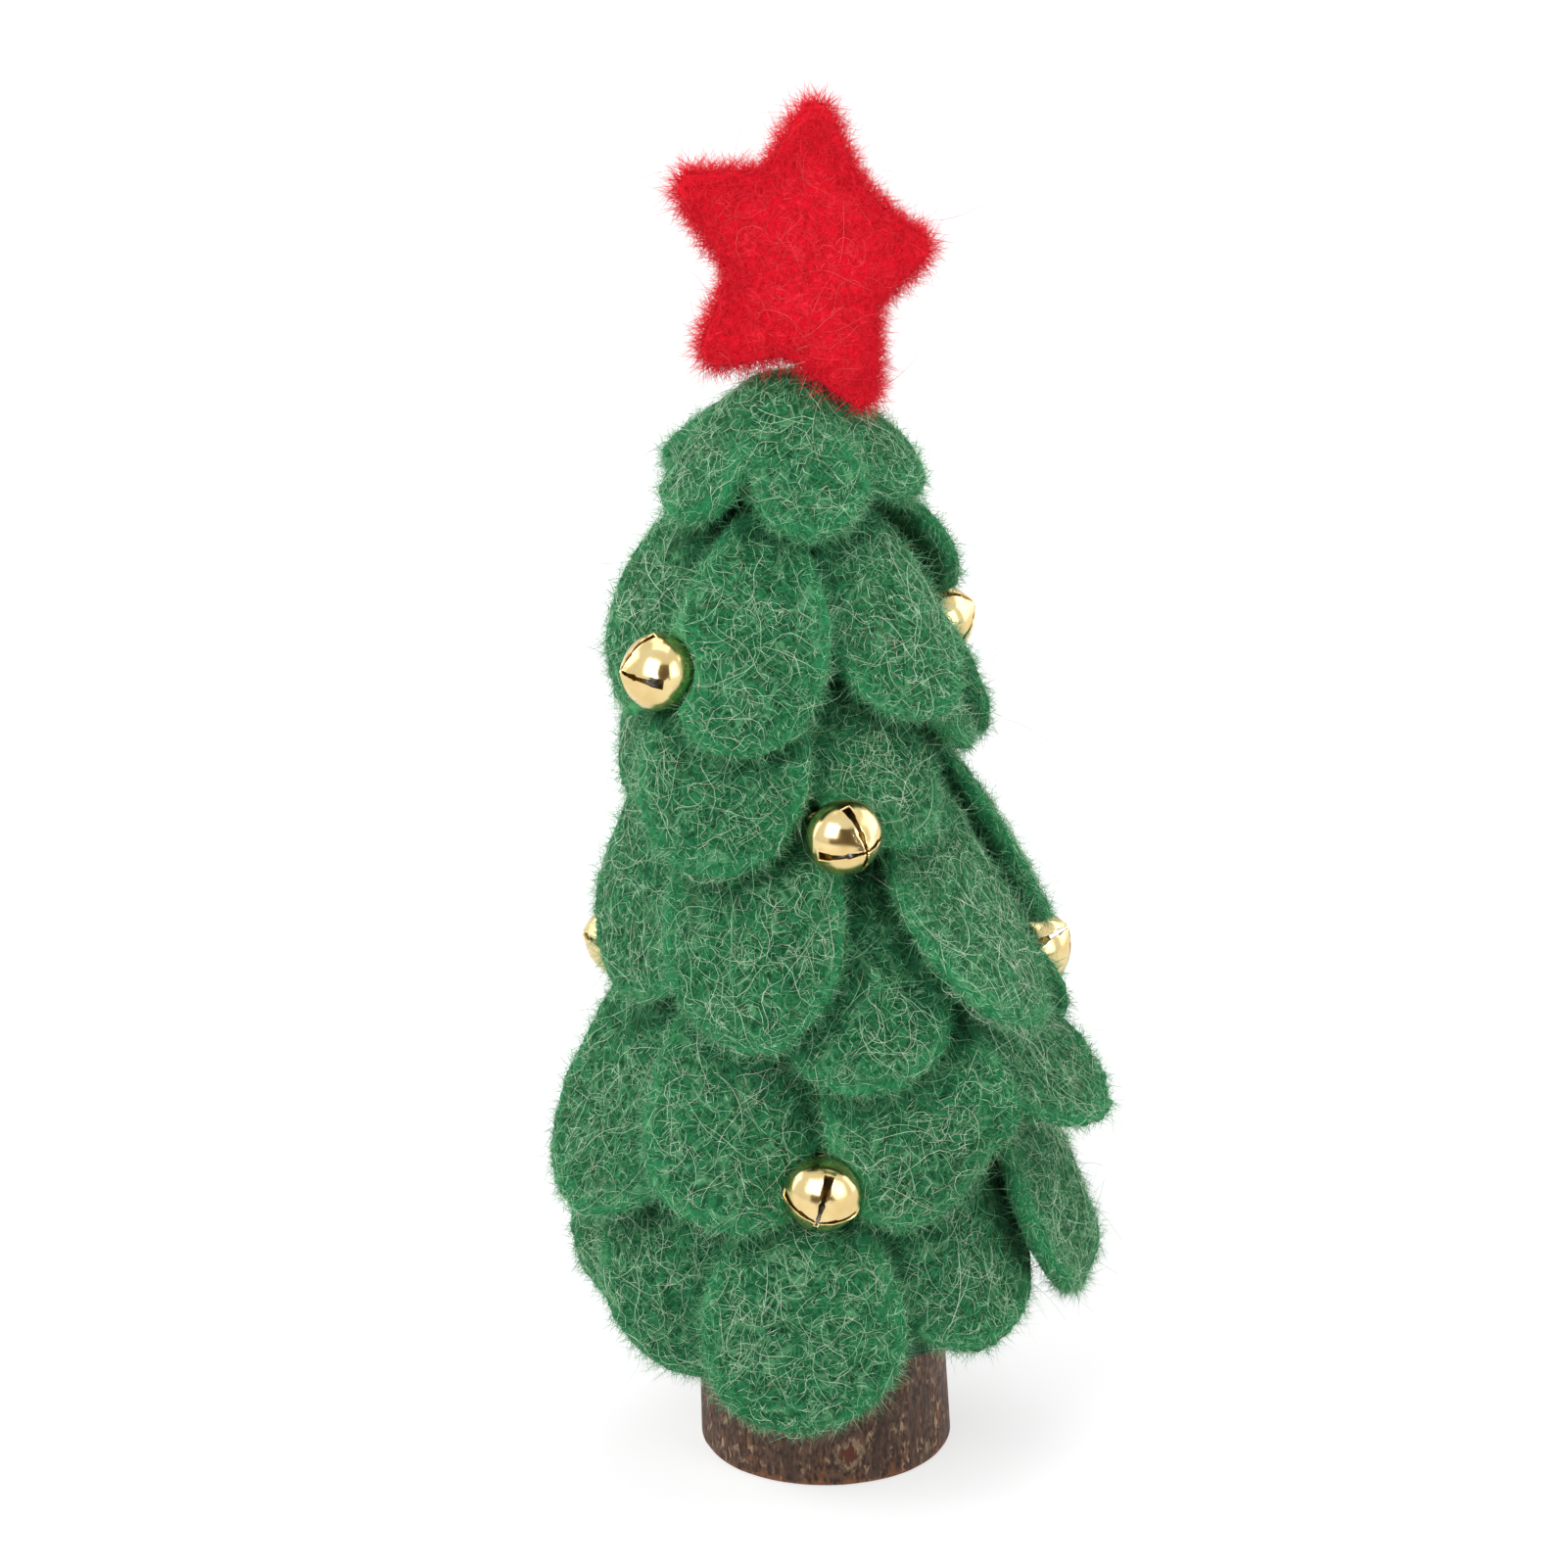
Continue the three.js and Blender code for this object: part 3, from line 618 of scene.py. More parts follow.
RED_COAT: dict[Strand, StrandSize] = {
    Strand.MATTED: StrandSize(7.5, (0.9, 2.8), (0.052, 0.082), 1.5, 0.14, 1,
                              (0.42, 0.72), 0.14, (0.72, 0.92)),
    Strand.CURLED: StrandSize(0.3, (3.5, 9.0), (0.045, 0.07), 2.0, 0.35, 8, (0.66, 0.86), 0.12, (0.88, 1.0)),
    Strand.STANDING: StrandSize(5.0, (0.8, 2.4), (0.04, 0.06), 1.0, 0.65, 1, (0.44, 0.72), 0.04, (0.2, 0.4)),
    Strand.RIM: StrandSize(30.0, (0.8, 2.8), (0.046, 0.07), 0.9, 0.9, 1, (0.46, 0.7), 0.06, (0.3, 0.8)),
    Strand.LOOSE: StrandSize(0.14, (2.0, 5.5), (0.038, 0.055), 1.6, 0.8, 5, (0.3, 0.6), 0.1, (0.7, 0.9)),
}


def frames(normals: np.ndarray) -> tuple[np.ndarray, np.ndarray]:
    """Return two unit vectors across each normal."""
    helper = np.where(np.abs(normals[:, 2:3]) < 0.8, (0.0, 0.0, 1.0), (1.0, 0.0, 0.0))
    first = np.cross(helper, normals)
    first /= np.linalg.norm(first, axis=1, keepdims=True)
    return first, np.cross(normals, first)


# How deep felt is probed, where its rim starts and over what it grows, in thicknesses
RIM_PROBE, RIM_START, RIM_SPAN = 2.6, 1.3, 0.9
# How fast fibres come in where felt is more open, and what is taken off for the hidden parts
OPEN_GAIN, OPEN_LOSS = 2.2, 0.6


@dataclass
class WoolSurface:
    """The surface of one felt piece as arrays, with how near the rim and how open each point is."""

    points: np.ndarray
    normals: np.ndarray
    triangles: np.ndarray
    edges: np.ndarray
    rim: np.ndarray = field(default_factory=lambda: np.zeros(0))
    open: np.ndarray = field(default_factory=lambda: np.zeros(0))

    @classmethod
    def of(cls, obj: Object) -> "WoolSurface":
        """Return the surface of a mesh object."""
        mesh = obj.data
        mesh.calc_loop_triangles()
        return cls(
            read_rows(mesh.vertices, "co", 3, np.float32), read_rows(mesh.vertices, "normal", 3, np.float32),
            read_rows(mesh.loop_triangles, "vertices", 3, np.int32),
            read_rows(mesh.edges, "vertices", 2, np.int32),
        )

    def tree(self) -> BVHTree:
        """Return a search tree of the surface."""
        return BVHTree.FromPolygons(self.points.tolist(), self.triangles.tolist(), all_triangles=True)

    def find_rim(self, thick: float, band: float) -> None:
        """Mark the cut rim, where the felt is much deeper than it is thick, fading over a band beside it."""
        own = self.tree()
        reach = RIM_PROBE * thick
        depth = np.full(len(self.points), reach)
        for k, (point, normal) in enumerate(zip(self.points.tolist(), self.normals.tolist())):
            inward = -Vector(normal)
            hit = own.ray_cast(Vector(point) + inward * 0.03 * MM, inward, reach)
            if hit[3] is not None:
                depth[k] = hit[3]
        rim = np.clip((depth / thick - RIM_START) / RIM_SPAN, 0, 1)
        here, there = np.concatenate([self.edges, self.edges[:, ::-1]]).T
        step = np.linalg.norm(self.points[here] - self.points[there], axis=1) / band
        for _ in range(round(1 / step.mean())):
            wider = rim.copy()
            np.maximum.at(wider, here, rim[there] - step)
            rim = wider
        degree = np.bincount(here, minlength=len(rim))
        for _ in range(2):
            rim = 0.5 * rim + 0.5 * np.bincount(here, rim[there], len(rim)) / degree
        self.rim = rim

    def find_open(self, others: BVHTree, reach: float) -> None:
        """Find how open each point is: the share of the ways out, within a reach, that no felt stands in. It
        sets the painted shade of the felt and its fibres, and how many fibres grow.
        """
        first, second = frames(self.normals.astype(float))
        self.open = np.zeros(len(self.points))
        starts = (self.points + self.normals * 0.08 * MM).tolist()
        ways = [(0.0, 0.0)] + [(1.0, turn * math.pi / 3) for turn in range(6)]
        for tilt, turn in ways:
            across = math.cos(turn) * first + math.sin(turn) * second
            way = (math.cos(tilt) * self.normals + math.sin(tilt) * across).tolist()
            self.open += [others.ray_cast(a, b, reach)[0] is None for a, b in zip(starts, way)]
        self.open /= len(ways)

    def outward(self) -> np.ndarray:
        """Return how far each point faces away from the tree's axis, from -1 to 1."""
        across = self.points[:, :2] / np.linalg.norm(self.points[:, :2], axis=1, keepdims=True)
        return (self.normals[:, :2] * across).sum(1)

    def scatter(self, rng: np.random.Generator, per_mm2: float, share: np.ndarray) -> tuple:
        """Pick places on the surface.

        Args:
            rng: The seeded source of chance.
            per_mm2: How many places there are on each open square millimetre.
            share: The part of that at each point.

        Returns:
            The places, their normals and how open they are.
        """
        a, b, c = (self.points[self.triangles[:, k]].astype(float) for k in range(3))
        area = np.linalg.norm(np.cross(b - a, c - a), axis=1) / 2
        weight = area * (share * np.clip(OPEN_GAIN * self.open - OPEN_LOSS, 0, 1))[self.triangles].mean(1)
        count = int(per_mm2 * weight.sum() / MM ** 2)
        pick = rng.choice(len(weight), count, p=weight / weight.sum())
        u, v = rng.random((2, count, 1))
        over = u + v > 1
        u, v = np.where(over, 1 - u, u), np.where(over, 1 - v, v)
        spots = a[pick] * (1 - u - v) + b[pick] * u + c[pick] * v
        corners = self.normals[self.triangles[pick]].astype(float)
        normals = corners[:, 0] * (1 - u - v) + corners[:, 1] * u + corners[:, 2] * v
        free = self.open[self.triangles[pick]].mean(1)
        return spots, normals / np.linalg.norm(normals, axis=1, keepdims=True), free


@dataclass
class FibreCoat:
    """The loose fibres of one felt piece, in one mesh of thin pointed spindles."""

    name: str
    surface: WoolSurface
    sizes: dict[Strand, StrandSize]
    finish: FibreFinish
    bells: np.ndarray
    bell_reach: float
    roundness: float
    seed: int
    thin: float = 1.0
    overhang: float = 0.9 * MM
    inner_share: float = 0.3
    inner_facing: float = -0.25
    rim_thinning: float = 0.35
    # Painted shade on the fibres: a dyed tone is pulled toward the undyed tone where the felt is sheltered,
    # from full tone at the upper openness of dusk down to the darkest share at the lower one
    undyed: float = 0.14
    dusk: tuple[float, float] = (0.15, 0.87)
    darkest: float = 0.12
    sunk: float = 0.06 * MM
    waves: float = 1.2
    short_root: float = 0.35
    long_root: float = 0.1
    wave_share: float = 0.3
    least_lift: float = 0.4
    lift_spread: float = 0.6
    arch: float = 0.7
    out_range: tuple[float, float] = (0.5, 1.3)
    lean_range: tuple[float, float] = (0.3, 1.0)
    curl_share: float = 0.07
    curls: float = 8.0
    taper: float = 0.35
    margin: float = 0.08

    def lay(self, rng: np.random.Generator, size: StrandSize, spots: np.ndarray, normals: np.ndarray):
        """Return the paths of fibres that lie in the mat, with their ends in the felt."""
        count = len(spots)
        t = np.linspace(0, 1, size.rings + 2)
        length = rng.uniform(*size.length, count)[:, None] * MM
        turn = rng.uniform(0, math.tau, count)[:, None]
        bend = rng.normal(0, size.bend, count)[:, None]
        wave = rng.normal(0, self.wave_share * size.bend, count)[:, None]
        phase = rng.uniform(0, math.tau, count)[:, None]
        heading = turn + bend * (t - 0.5) + wave * np.sin(math.tau * self.waves * t + phase)
        step = length / (size.rings + 1)
        x = np.cumsum(np.cos(heading) * step, axis=1)
        y = np.cumsum(np.sin(heading) * step, axis=1)
        x -= x.mean(1, keepdims=True)
        y -= y.mean(1, keepdims=True)
        lift = (self.least_lift + rng.exponential(self.lift_spread, count))[:, None] * size.lift * MM
        rise = lift * np.sin(math.pi * t) ** self.arch - self.sunk
        sink = -(x * x + y * y) / 2 * self.roundness
        first, second = frames(normals)
        paths = (spots[:, None] + x[..., None] * first[:, None] + y[..., None] * second[:, None]
                 + sink[..., None] * normals[:, None])
        return self.follow(paths, rise)

    def follow(self, paths: np.ndarray, rise: np.ndarray) -> np.ndarray:
        """Return paths moved onto the felt, each point raised off it, with those that leave it set to nan."""
        own = self.surface.tree()
        laid = np.empty((paths.size // 3, 3))
        for k, (point, up) in enumerate(zip(paths.reshape(-1, 3).tolist(), rise.ravel().tolist())):
            spot, normal, _, away = own.find_nearest(point)
            laid[k] = spot + normal * up if away < self.overhang else math.nan
        return laid.reshape(paths.shape)

    def stand(self, rng: np.random.Generator, size: StrandSize, spots: np.ndarray, normals: np.ndarray):
        """Return the paths of fibres that stand out of the felt and bend over."""
        count = len(spots)
        t = np.linspace(0, 1, size.rings + 2)
        root = self.short_root if size.rings == 1 else self.long_root
        length = rng.uniform(*size.length, count)[:, None, None] * MM / (1 - root)
        first, second = frames(normals)
        turn = rng.uniform(0, math.tau, (2, count, 1))
        lean = np.cos(turn[0]) * first + np.sin(turn[0]) * second
        sway = np.cos(turn[1]) * first + np.sin(turn[1]) * second
        out = size.lift * rng.uniform(*self.out_range, (count, 1)) * normals
        out += rng.uniform(*self.lean_range, (count, 1)) * lean
        out /= np.linalg.norm(out, axis=1, keepdims=True)
        bow = rng.uniform(0, size.bend, (count, 1, 1)) * sway[:, None]
        along = t[None, :, None]
        phase = rng.uniform(0, math.tau, (count, 1, 1))
        wave = rng.normal(0, self.curl_share * size.bend, (count, 1, 1))
        wave = wave * (np.sin(self.curls * along + phase) - np.sin(phase))
        curl = wave * np.cross(normals, sway)[:, None]
        return spots[:, None] + length * (out[:, None] * (along - root) + bow * along * along + curl)

    def spindles(self, paths: np.ndarray, normals: np.ndarray, width: np.ndarray) -> tuple:
        """Return the points and triangles of pointed three-sided spindles along paths."""
        count, stops, _ = paths.shape
        rings = stops - 2
        tangent = paths[:, 2:] - paths[:, :-2]
        tangent /= np.linalg.norm(tangent, axis=2, keepdims=True) + 1e-12
        side = np.cross(tangent, normals[:, None])
        side /= np.linalg.norm(side, axis=2, keepdims=True) + 1e-9
        up = np.cross(tangent, side)
        turn = math.tau * np.arange(3) / 3
        swell = 1 - self.taper * np.abs(np.linspace(-1, 1, rings)) if rings > 2 else np.ones(rings)
        radius = (width[:, None] * swell / 2)[:, :, None, None]
        ring = paths[:, 1:-1, None] + radius * (np.cos(turn)[:, None] * side[:, :, None]
                                                + np.sin(turn)[:, None] * up[:, :, None])
        points = np.concatenate([paths[:, :1], ring.reshape(count, rings * 3, 3), paths[:, -1:]], axis=1)
        last = 1 + 3 * rings
        stop, side = self.corners(rings)
        faces = np.clip(3 * stop - 2 + side % 3, 0, last).reshape(1, -1, 3)
        start = np.arange(count)[:, None, None] * (last + 1)
        return points.reshape(-1, 3), (start + faces).reshape(-1, 3)

    def corners(self, rings: int) -> np.ndarray:
        """Return the stop and the side of each corner of one spindle's triangles, in order."""
        found = []
        for k in range(3):
            found.extend([(0, k), (1, k + 1), (1, k)])
            for r in range(1, rings):
                found.extend([(r, k), (r, k + 1), (r + 1, k + 1), (r, k), (r + 1, k + 1), (r + 1, k)])
            found.extend([(rings + 1, k), (rings, k), (rings, k + 1)])
        return np.array(found).T

    def patch(self, rings: int) -> np.ndarray:
        """Return where each corner of one spindle's triangles lies in the spindle's own patch of the map."""
        stop, side = self.corners(rings)
        ends = (stop == 0) | (stop > rings)
        place = np.stack([stop / (rings + 1), (side + 0.5 * ends) / 3], axis=1)
        return self.margin + (1 - 2 * self.margin) * place

    def grow(self) -> Object:
        """Make the mesh of all the fibres and return its object."""
        rng = np.random.default_rng(self.seed)
        points, faces, tones, patches = [], [], [], []
        total = 0
        dark, light = self.dusk
        for strand, size in self.sizes.items():
            rim = self.surface.rim
            share = rim if strand is Strand.RIM else 1 - self.rim_thinning * rim
            if self.roundness:
                share = share * np.where(self.surface.outward() < self.inner_facing, self.inner_share, 1.0)
            spots, normals, free = self.surface.scatter(rng, size.per_mm2 * self.thin, share)
            laid = strand in (Strand.MATTED, Strand.CURLED)
            paths = (self.lay if laid else self.stand)(rng, size, spots, normals)
            gap = np.linalg.norm(paths[:, :, None] - self.bells[None, None], axis=3).min((1, 2))
            keep = gap > self.bell_reach
            paths, normals, free = paths[keep], normals[keep], free[keep]
            count = len(paths)
            width = rng.uniform(*size.width, count) * MM
            tone_and_shade = rng.uniform(*size.tones, count)
            odd = rng.random(count) < size.odd_share
            tone_and_shade[odd] = rng.uniform(*size.odd_tones, odd.sum())
            # Painted shade: dyed fibres in sheltered places are dimmed toward the darkest dyed tone; undyed
            # fibres keep their tone
            shown = np.clip((free - dark) / (light - dark), 0, 1)
            dimmed = self.undyed + (tone_and_shade - self.undyed) * (self.darkest + (1 - self.darkest) * shown)
            tone_and_shade = np.where(tone_and_shade > self.undyed, dimmed, tone_and_shade)
            made, joined = self.spindles(paths, normals, width)
            faces.append(joined + sum(len(p) for p in points))
            points.append(made)
            tones.append(np.repeat(tone_and_shade, 2 + 3 * size.rings))
            patches.append((count, self.patch(size.rings)))
            total += count
        mesh = bpy.data.meshes.new(self.name)
        mesh.from_pydata(np.concatenate(points), [], np.concatenate(faces))
        mesh.polygons.foreach_set("use_smooth", np.ones(len(mesh.polygons), bool))
        tone_and_shade = mesh.attributes.new("tone_and_shade", "FLOAT", "POINT")
        tone_and_shade.data.foreach_set("value", np.concatenate(tones).astype(np.float32))
        grid = math.ceil(math.sqrt(total))
        places, first = [], 0
        for count, corners in patches:
            cell = np.arange(first, first + count)
            corner = np.stack([cell % grid, cell // grid], axis=1)[:, None]
            places.append(((corner + corners[None]) / grid).reshape(-1, 2))
            first += count
        layer = mesh.uv_layers.new(name="OFBake")
        layer.data.foreach_set("uv", np.concatenate(places).ravel().astype(np.float32))
        mesh.materials.append(self.finish.material())
        return new_object(self.name, mesh)


@dataclass
class FeltPiece:
    """One cut of thick wool felt, formed on its node: rounded at the rims, uneven and covered in fibres."""

    node: str
    flat: tuple[float, float]
    area: float
    held: str
    thick: float
    finish: FeltFinish
    slot: str
    voxel: float = 0.5 * MM
    soften: int = 5
    swell: float = 0.2 * MM
    uneven: float = 0.5 * MM
    rim_band: float = 3.0 * MM
    cut_angle: float = math.radians(42)
    crease: float = 0.9
    lumps: float = 5.5 * MM
    body: Object | None = None

    def form(self) -> Object:
        """Form the felt on a copy of the node's shape, rounded but with its cut rims kept, and return it."""
        obj = new_object(f"felt_{self.node}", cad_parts[self.node].data.copy())
        obj.data.materials.clear()
        take(obj)
        with editing():
            bpy.ops.mesh.select_mode(type="EDGE")
            bpy.ops.mesh.remove_doubles(threshold=0.001 * MM)
            bpy.ops.mesh.tris_convert_to_quads()
            bpy.ops.mesh.select_all(action="DESELECT")
            bpy.ops.mesh.edges_select_sharp(sharpness=self.cut_angle)
            bpy.ops.transform.edge_crease(value=self.crease)
        finish_with(obj, "SUBSURF", levels=2, render_levels=2)
        finish_with(obj, "REMESH", mode="VOXEL", voxel_size=self.voxel, use_smooth_shade=True)
        finish_with(obj, "SMOOTH", factor=0.5, iterations=self.soften)
        finish_with(obj, "DISPLACE", strength=self.swell, mid_level=0.0)
        lumps = bpy.data.textures.get("felt_lumps") or bpy.data.textures.new("felt_lumps", "CLOUDS")
        lumps.noise_scale = self.lumps
        lumps.noise_depth = 1
        finish_with(obj, "DISPLACE", strength=self.uneven, mid_level=0.5, texture=lumps,
                    texture_coords="LOCAL")
        obj.data.materials.append(self.finish.material())
        self.body = obj
        return obj

    def dress(self, surface: WoolSurface) -> None:
        """Keep how near the rim and how open each point is on the mesh, for the finish's painted rim light
        and painted shade.
        """
        for name, values in (("rim", surface.rim), ("open", surface.open)):
            layer = self.body.data.attributes.new(name, "FLOAT", "POINT")
            layer.data.foreach_set("value", values.astype(np.float32))

    def declare(self, fibres: Object, rests_on: list[str]) -> None:
        """Tie the felt and its fibres to the frame."""
        add_piece(self.body, TREE, self.slot, self.node)
        add_piece(fibres, TREE, self.slot)


@dataclass(frozen=True)
class PetalTier:
    """One tier of petals that share a cut: a tongue with a narrower root and a round tip."""

    name: str
    count: int
    width: float
    length: float
    root: float

    def area(self) -> float:
        """Return the flat area of one petal."""
        tip = self.width / 2
        mean_half = tip - (tip - self.root / 2) / 3
        return 2 * (self.length - tip) * mean_half + math.pi * tip * tip / 2

    def pieces(self) -> list[FeltPiece]:
        """Return the tier's petals."""
        return [
            FeltPiece(f"{self.name}_{k + 1}", (self.width, self.length), self.area(), "draped",
                      2.4 * MM, GREEN_FELT, "green_felt")
            for k in range(self.count)
        ]


@dataclass
class FeltCover:
    """All the felt of the tree: five tiers of petals, the flower-cut cap and the star."""

    tiers: tuple[PetalTier, ...] = (
        PetalTier("hem_petal", 9, 22.0 * MM, 24.0 * MM, 10.7 * MM),
        PetalTier("skirt_petal", 8, 21.0 * MM, 27.0 * MM, 9.8 * MM),
        PetalTier("lower_petal", 8, 21.5 * MM, 28.0 * MM, 7.6 * MM),
        PetalTier("middle_petal", 7, 19.0 * MM, 23.0 * MM, 6.8 * MM),
        PetalTier("upper_petal", 7, 18.2 * MM, 22.0 * MM, 5.5 * MM),
    )
    bells: np.ndarray = field(default_factory=lambda: np.zeros((0, 3)))
    bell_radius: float = 4.0 * MM
    tree_radius: float = 22.0 * MM
    # How far a way out is followed to find shelter, for painted shade and fibre density
    shelter: float = 6.0 * MM
    bell_clear: float = 1.02
    first_seed: int = 1000
    quick_share: float = 0.3

    def pieces(self) -> list[FeltPiece]:
        """Return every cut of felt, in the order that they are laid."""
        cap = FeltPiece("crown_cap", (42.0 * MM, 42.0 * MM), 820.0 * MM ** 2, "draped", 2.4 * MM,
                        GREEN_FELT, "green_felt")
        star = FeltPiece("top_star", (26.5 * MM, 32.5 * MM), 450.0 * MM ** 2, "laid", 3.0 * MM, RED_FELT,
                         "red_felt", swell=-0.45 * MM, uneven=0.35 * MM)
        return [petal for tier in self.tiers for petal in tier.pieces()] + [cap, star]

    def build(self) -> None:
        """Form and dress every piece of felt, then grow its fibres."""
        pieces = self.pieces()
        surfaces = [WoolSurface.of(piece.form()) for piece in pieces]
        shift = np.cumsum([0] + [len(s.points) for s in surfaces[:-1]])
        triangles = np.concatenate([s.triangles + n for s, n in zip(surfaces, shift)])
        points = np.concatenate([s.points for s in surfaces])
        everything = BVHTree.FromPolygons(points.tolist(), triangles.tolist(), all_triangles=True)
        for k, (piece, surface) in enumerate(zip(pieces, surfaces)):
            surface.find_rim(piece.thick, piece.rim_band)
            surface.find_open(everything, self.shelter)
            piece.dress(surface)
            star = piece.finish is RED_FELT
            coat = FibreCoat(
                f"fibres_{piece.node}", surface, RED_COAT if star else GREEN_COAT,
                RED_FIBRES if star else GREEN_FIBRES, self.bells, self.bell_clear * self.bell_radius,
                0.0 if star else 1 / self.tree_radius, self.first_seed + k,
                1.0,
            )
            piece.declare(coat.grow(), ["crown_cap"] if star else ["core_cone"])


@dataclass(frozen=True)
class BellAim:
    """Where one bell's pole points, and how its slits are turned about it, in degrees."""

    faces: float
    rise: float
    turn: float

    def axes(self) -> Matrix:
        """Return the bell's turn in the leaning tree."""
        faces, rise = math.radians(self.faces), math.radians(self.rise)
        pole = Vector((math.sin(faces) * math.cos(rise), -math.cos(faces) * math.cos(rise), math.sin(rise)))
        level = Vector((math.cos(faces), math.sin(faces), 0.0))
        upright = pole.cross(level)
        turned = Matrix((level, upright, pole)).transposed().to_4x4()
        return Matrix.Rotation(-LEAN, 4, "Y") @ turned @ Matrix.Rotation(math.radians(self.turn), 4, "Z")


@dataclass
class JingleBells:
    """The bells: pressed four-lobed shells with a wire loop, and a loose pellet in each.

    The sheet and the pellets are a little thinner and smaller than the CAD's, so that a pellet clears the
    pressed front of its bell at the top of its slide.
    """

    aims: tuple[BellAim, ...] = (
        BellAim(-68.8, 10.8, 0), BellAim(35.4, -4.3, 8), BellAim(-8.8, -19.3, -18), BellAim(-100, 8, 10),
        BellAim(88, 31, -20), BellAim(100, 20, 30), BellAim(165, -12, 15), BellAim(204, 5, 35),
    )
    radius: float = 4.0 * MM
    wall: float = 0.24 * MM
    slit_foot: float = 0.557 * MM
    slit_at_pole: float = 0.3 * MM
    slit_at_end: float = 1.1 * MM
    press_depth: float = 0.115
    press_skew: float = 0.63
    lip_width: float = 0.22 * MM
    lip_fade: float = 1.2 * MM
    lip_rise: float = 0.012
    lip_rise_low: float = 0.022
    soft_edge: float = 0.09 * MM
    loop_radius: float = 1.5 * MM
    loop_wire: float = 0.7 * MM
    pellet_radius: float = 1.42 * MM
    pellet_drop: float = 1.85 * MM
    seam: float = 0.985
    pellet_flat: float = 0.97

    def centres(self) -> np.ndarray:
        """Return the bells' centres, each over its pellet."""
        places = []
        for k in range(len(self.aims)):
            low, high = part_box(f"bell_pellet_{k + 1}")
            places.append((low + high) / 2 + Vector((0, 0, self.pellet_drop)))
        return np.array(places)

    def slit_half(self, height: np.ndarray | float) -> np.ndarray | float:
        """Return half a slit's width at a height over the bell's middle."""
        top = self.radius + self.wall
        share = (height - self.slit_foot) / (top - self.slit_foot)
        return (self.slit_at_end + (self.slit_at_pole - self.slit_at_end) * share) / 2

    def shell(self) -> Object:
        """Model one bell about the origin, with its slits crossing at +Z, and return it."""
        clear_selection()
        bpy.ops.mesh.primitive_uv_sphere_add(segments=64, ring_count=40, radius=self.radius)
        ball = bpy.context.object
        ball.name = "bell_pattern"
        self.press(ball)
        slope = (self.slit_half(self.radius) - self.slit_half(0.0)) / self.radius
        planes = [(side * axis * self.slit_half(0.0), side * axis - Vector((0, 0, slope)))
                  for axis in (Vector((1, 0, 0)), Vector((0, 1, 0))) for side in (1, -1)]
        planes.append((Vector((0, 0, self.slit_foot)), Vector((0, 0, 1))))
        with editing():
            for place, normal in planes:
                bpy.ops.mesh.select_all(action="SELECT")
                bpy.ops.mesh.bisect(plane_co=place, plane_no=normal)
            bpy.ops.mesh.select_all(action="DESELECT")
        for face in ball.data.polygons:
            x, y, z = face.center
            face.select = z > self.slit_foot and min(abs(x), abs(y)) < self.slit_half(z)
        with editing(None):
            bpy.ops.mesh.delete(type="FACE")
            bpy.ops.mesh.select_all(action="SELECT")
            bpy.ops.mesh.remove_doubles(threshold=0.004 * MM)
        self.roll_lips(ball)
        finish_with(ball, "SOLIDIFY", thickness=self.wall, offset=-1.0, use_even_offset=True)
        finish_with(ball, "BEVEL", width=self.soft_edge, segments=2, limit_method="ANGLE",
                    angle_limit=math.radians(50))
        loop = self.loop()
        take(ball)
        loop.select_set(True)
        bpy.ops.object.join()
        take(ball)
        bpy.ops.object.shade_smooth_by_angle(angle=math.radians(40))
        ball.data.materials.clear()
        ball.data.materials.append(GOLD.material())
        return ball

    def press(self, ball: Object) -> None:
        """Press the ball's front half flatter, almost to a cone."""
        points = read_points(ball.data)
        reach = np.linalg.norm(points, axis=1, keepdims=True)
        tilt = points[:, 2:3] / reach
        angle = np.arccos(np.clip(tilt, -1, 1))
        flat = self.press_depth * np.sin(math.pi * np.clip(2 * angle / math.pi, 0, 1) ** self.press_skew)
        write_points(ball.data, points * (1 - flat))

    def roll_lips(self, ball: Object) -> None:
        """Turn the slits' edges out a little, most at their wide ends."""
        points = read_points(ball.data)
        across = np.minimum(np.abs(points[:, 0]), np.abs(points[:, 1]))
        gap = across - self.slit_half(points[:, 2])
        above = points[:, 2] > self.slit_foot - 0.05 * MM
        lip = np.exp(-(np.maximum(gap, 0) / self.lip_width) ** 2) * above
        low = np.exp(-((points[:, 2] - self.slit_foot) / self.lip_fade) ** 2)
        rise = 1 + (self.lip_rise + self.lip_rise_low * low) * lip
        write_points(ball.data, points * rise[:, None])

    def loop(self) -> Object:
        """Model the wire loop at the bell's back and return it."""
        clear_selection()
        bpy.ops.mesh.primitive_torus_add(
            major_segments=36, minor_segments=12,
            major_radius=self.loop_radius, minor_radius=self.loop_wire / 2,
        )
        loop = bpy.context.object
        with editing():
            bpy.ops.transform.rotate(value=math.pi / 2, orient_axis="X", center_override=(0, 0, 0))
            bpy.ops.transform.translate(value=(0, 0, -self.radius - self.loop_wire))
        return loop

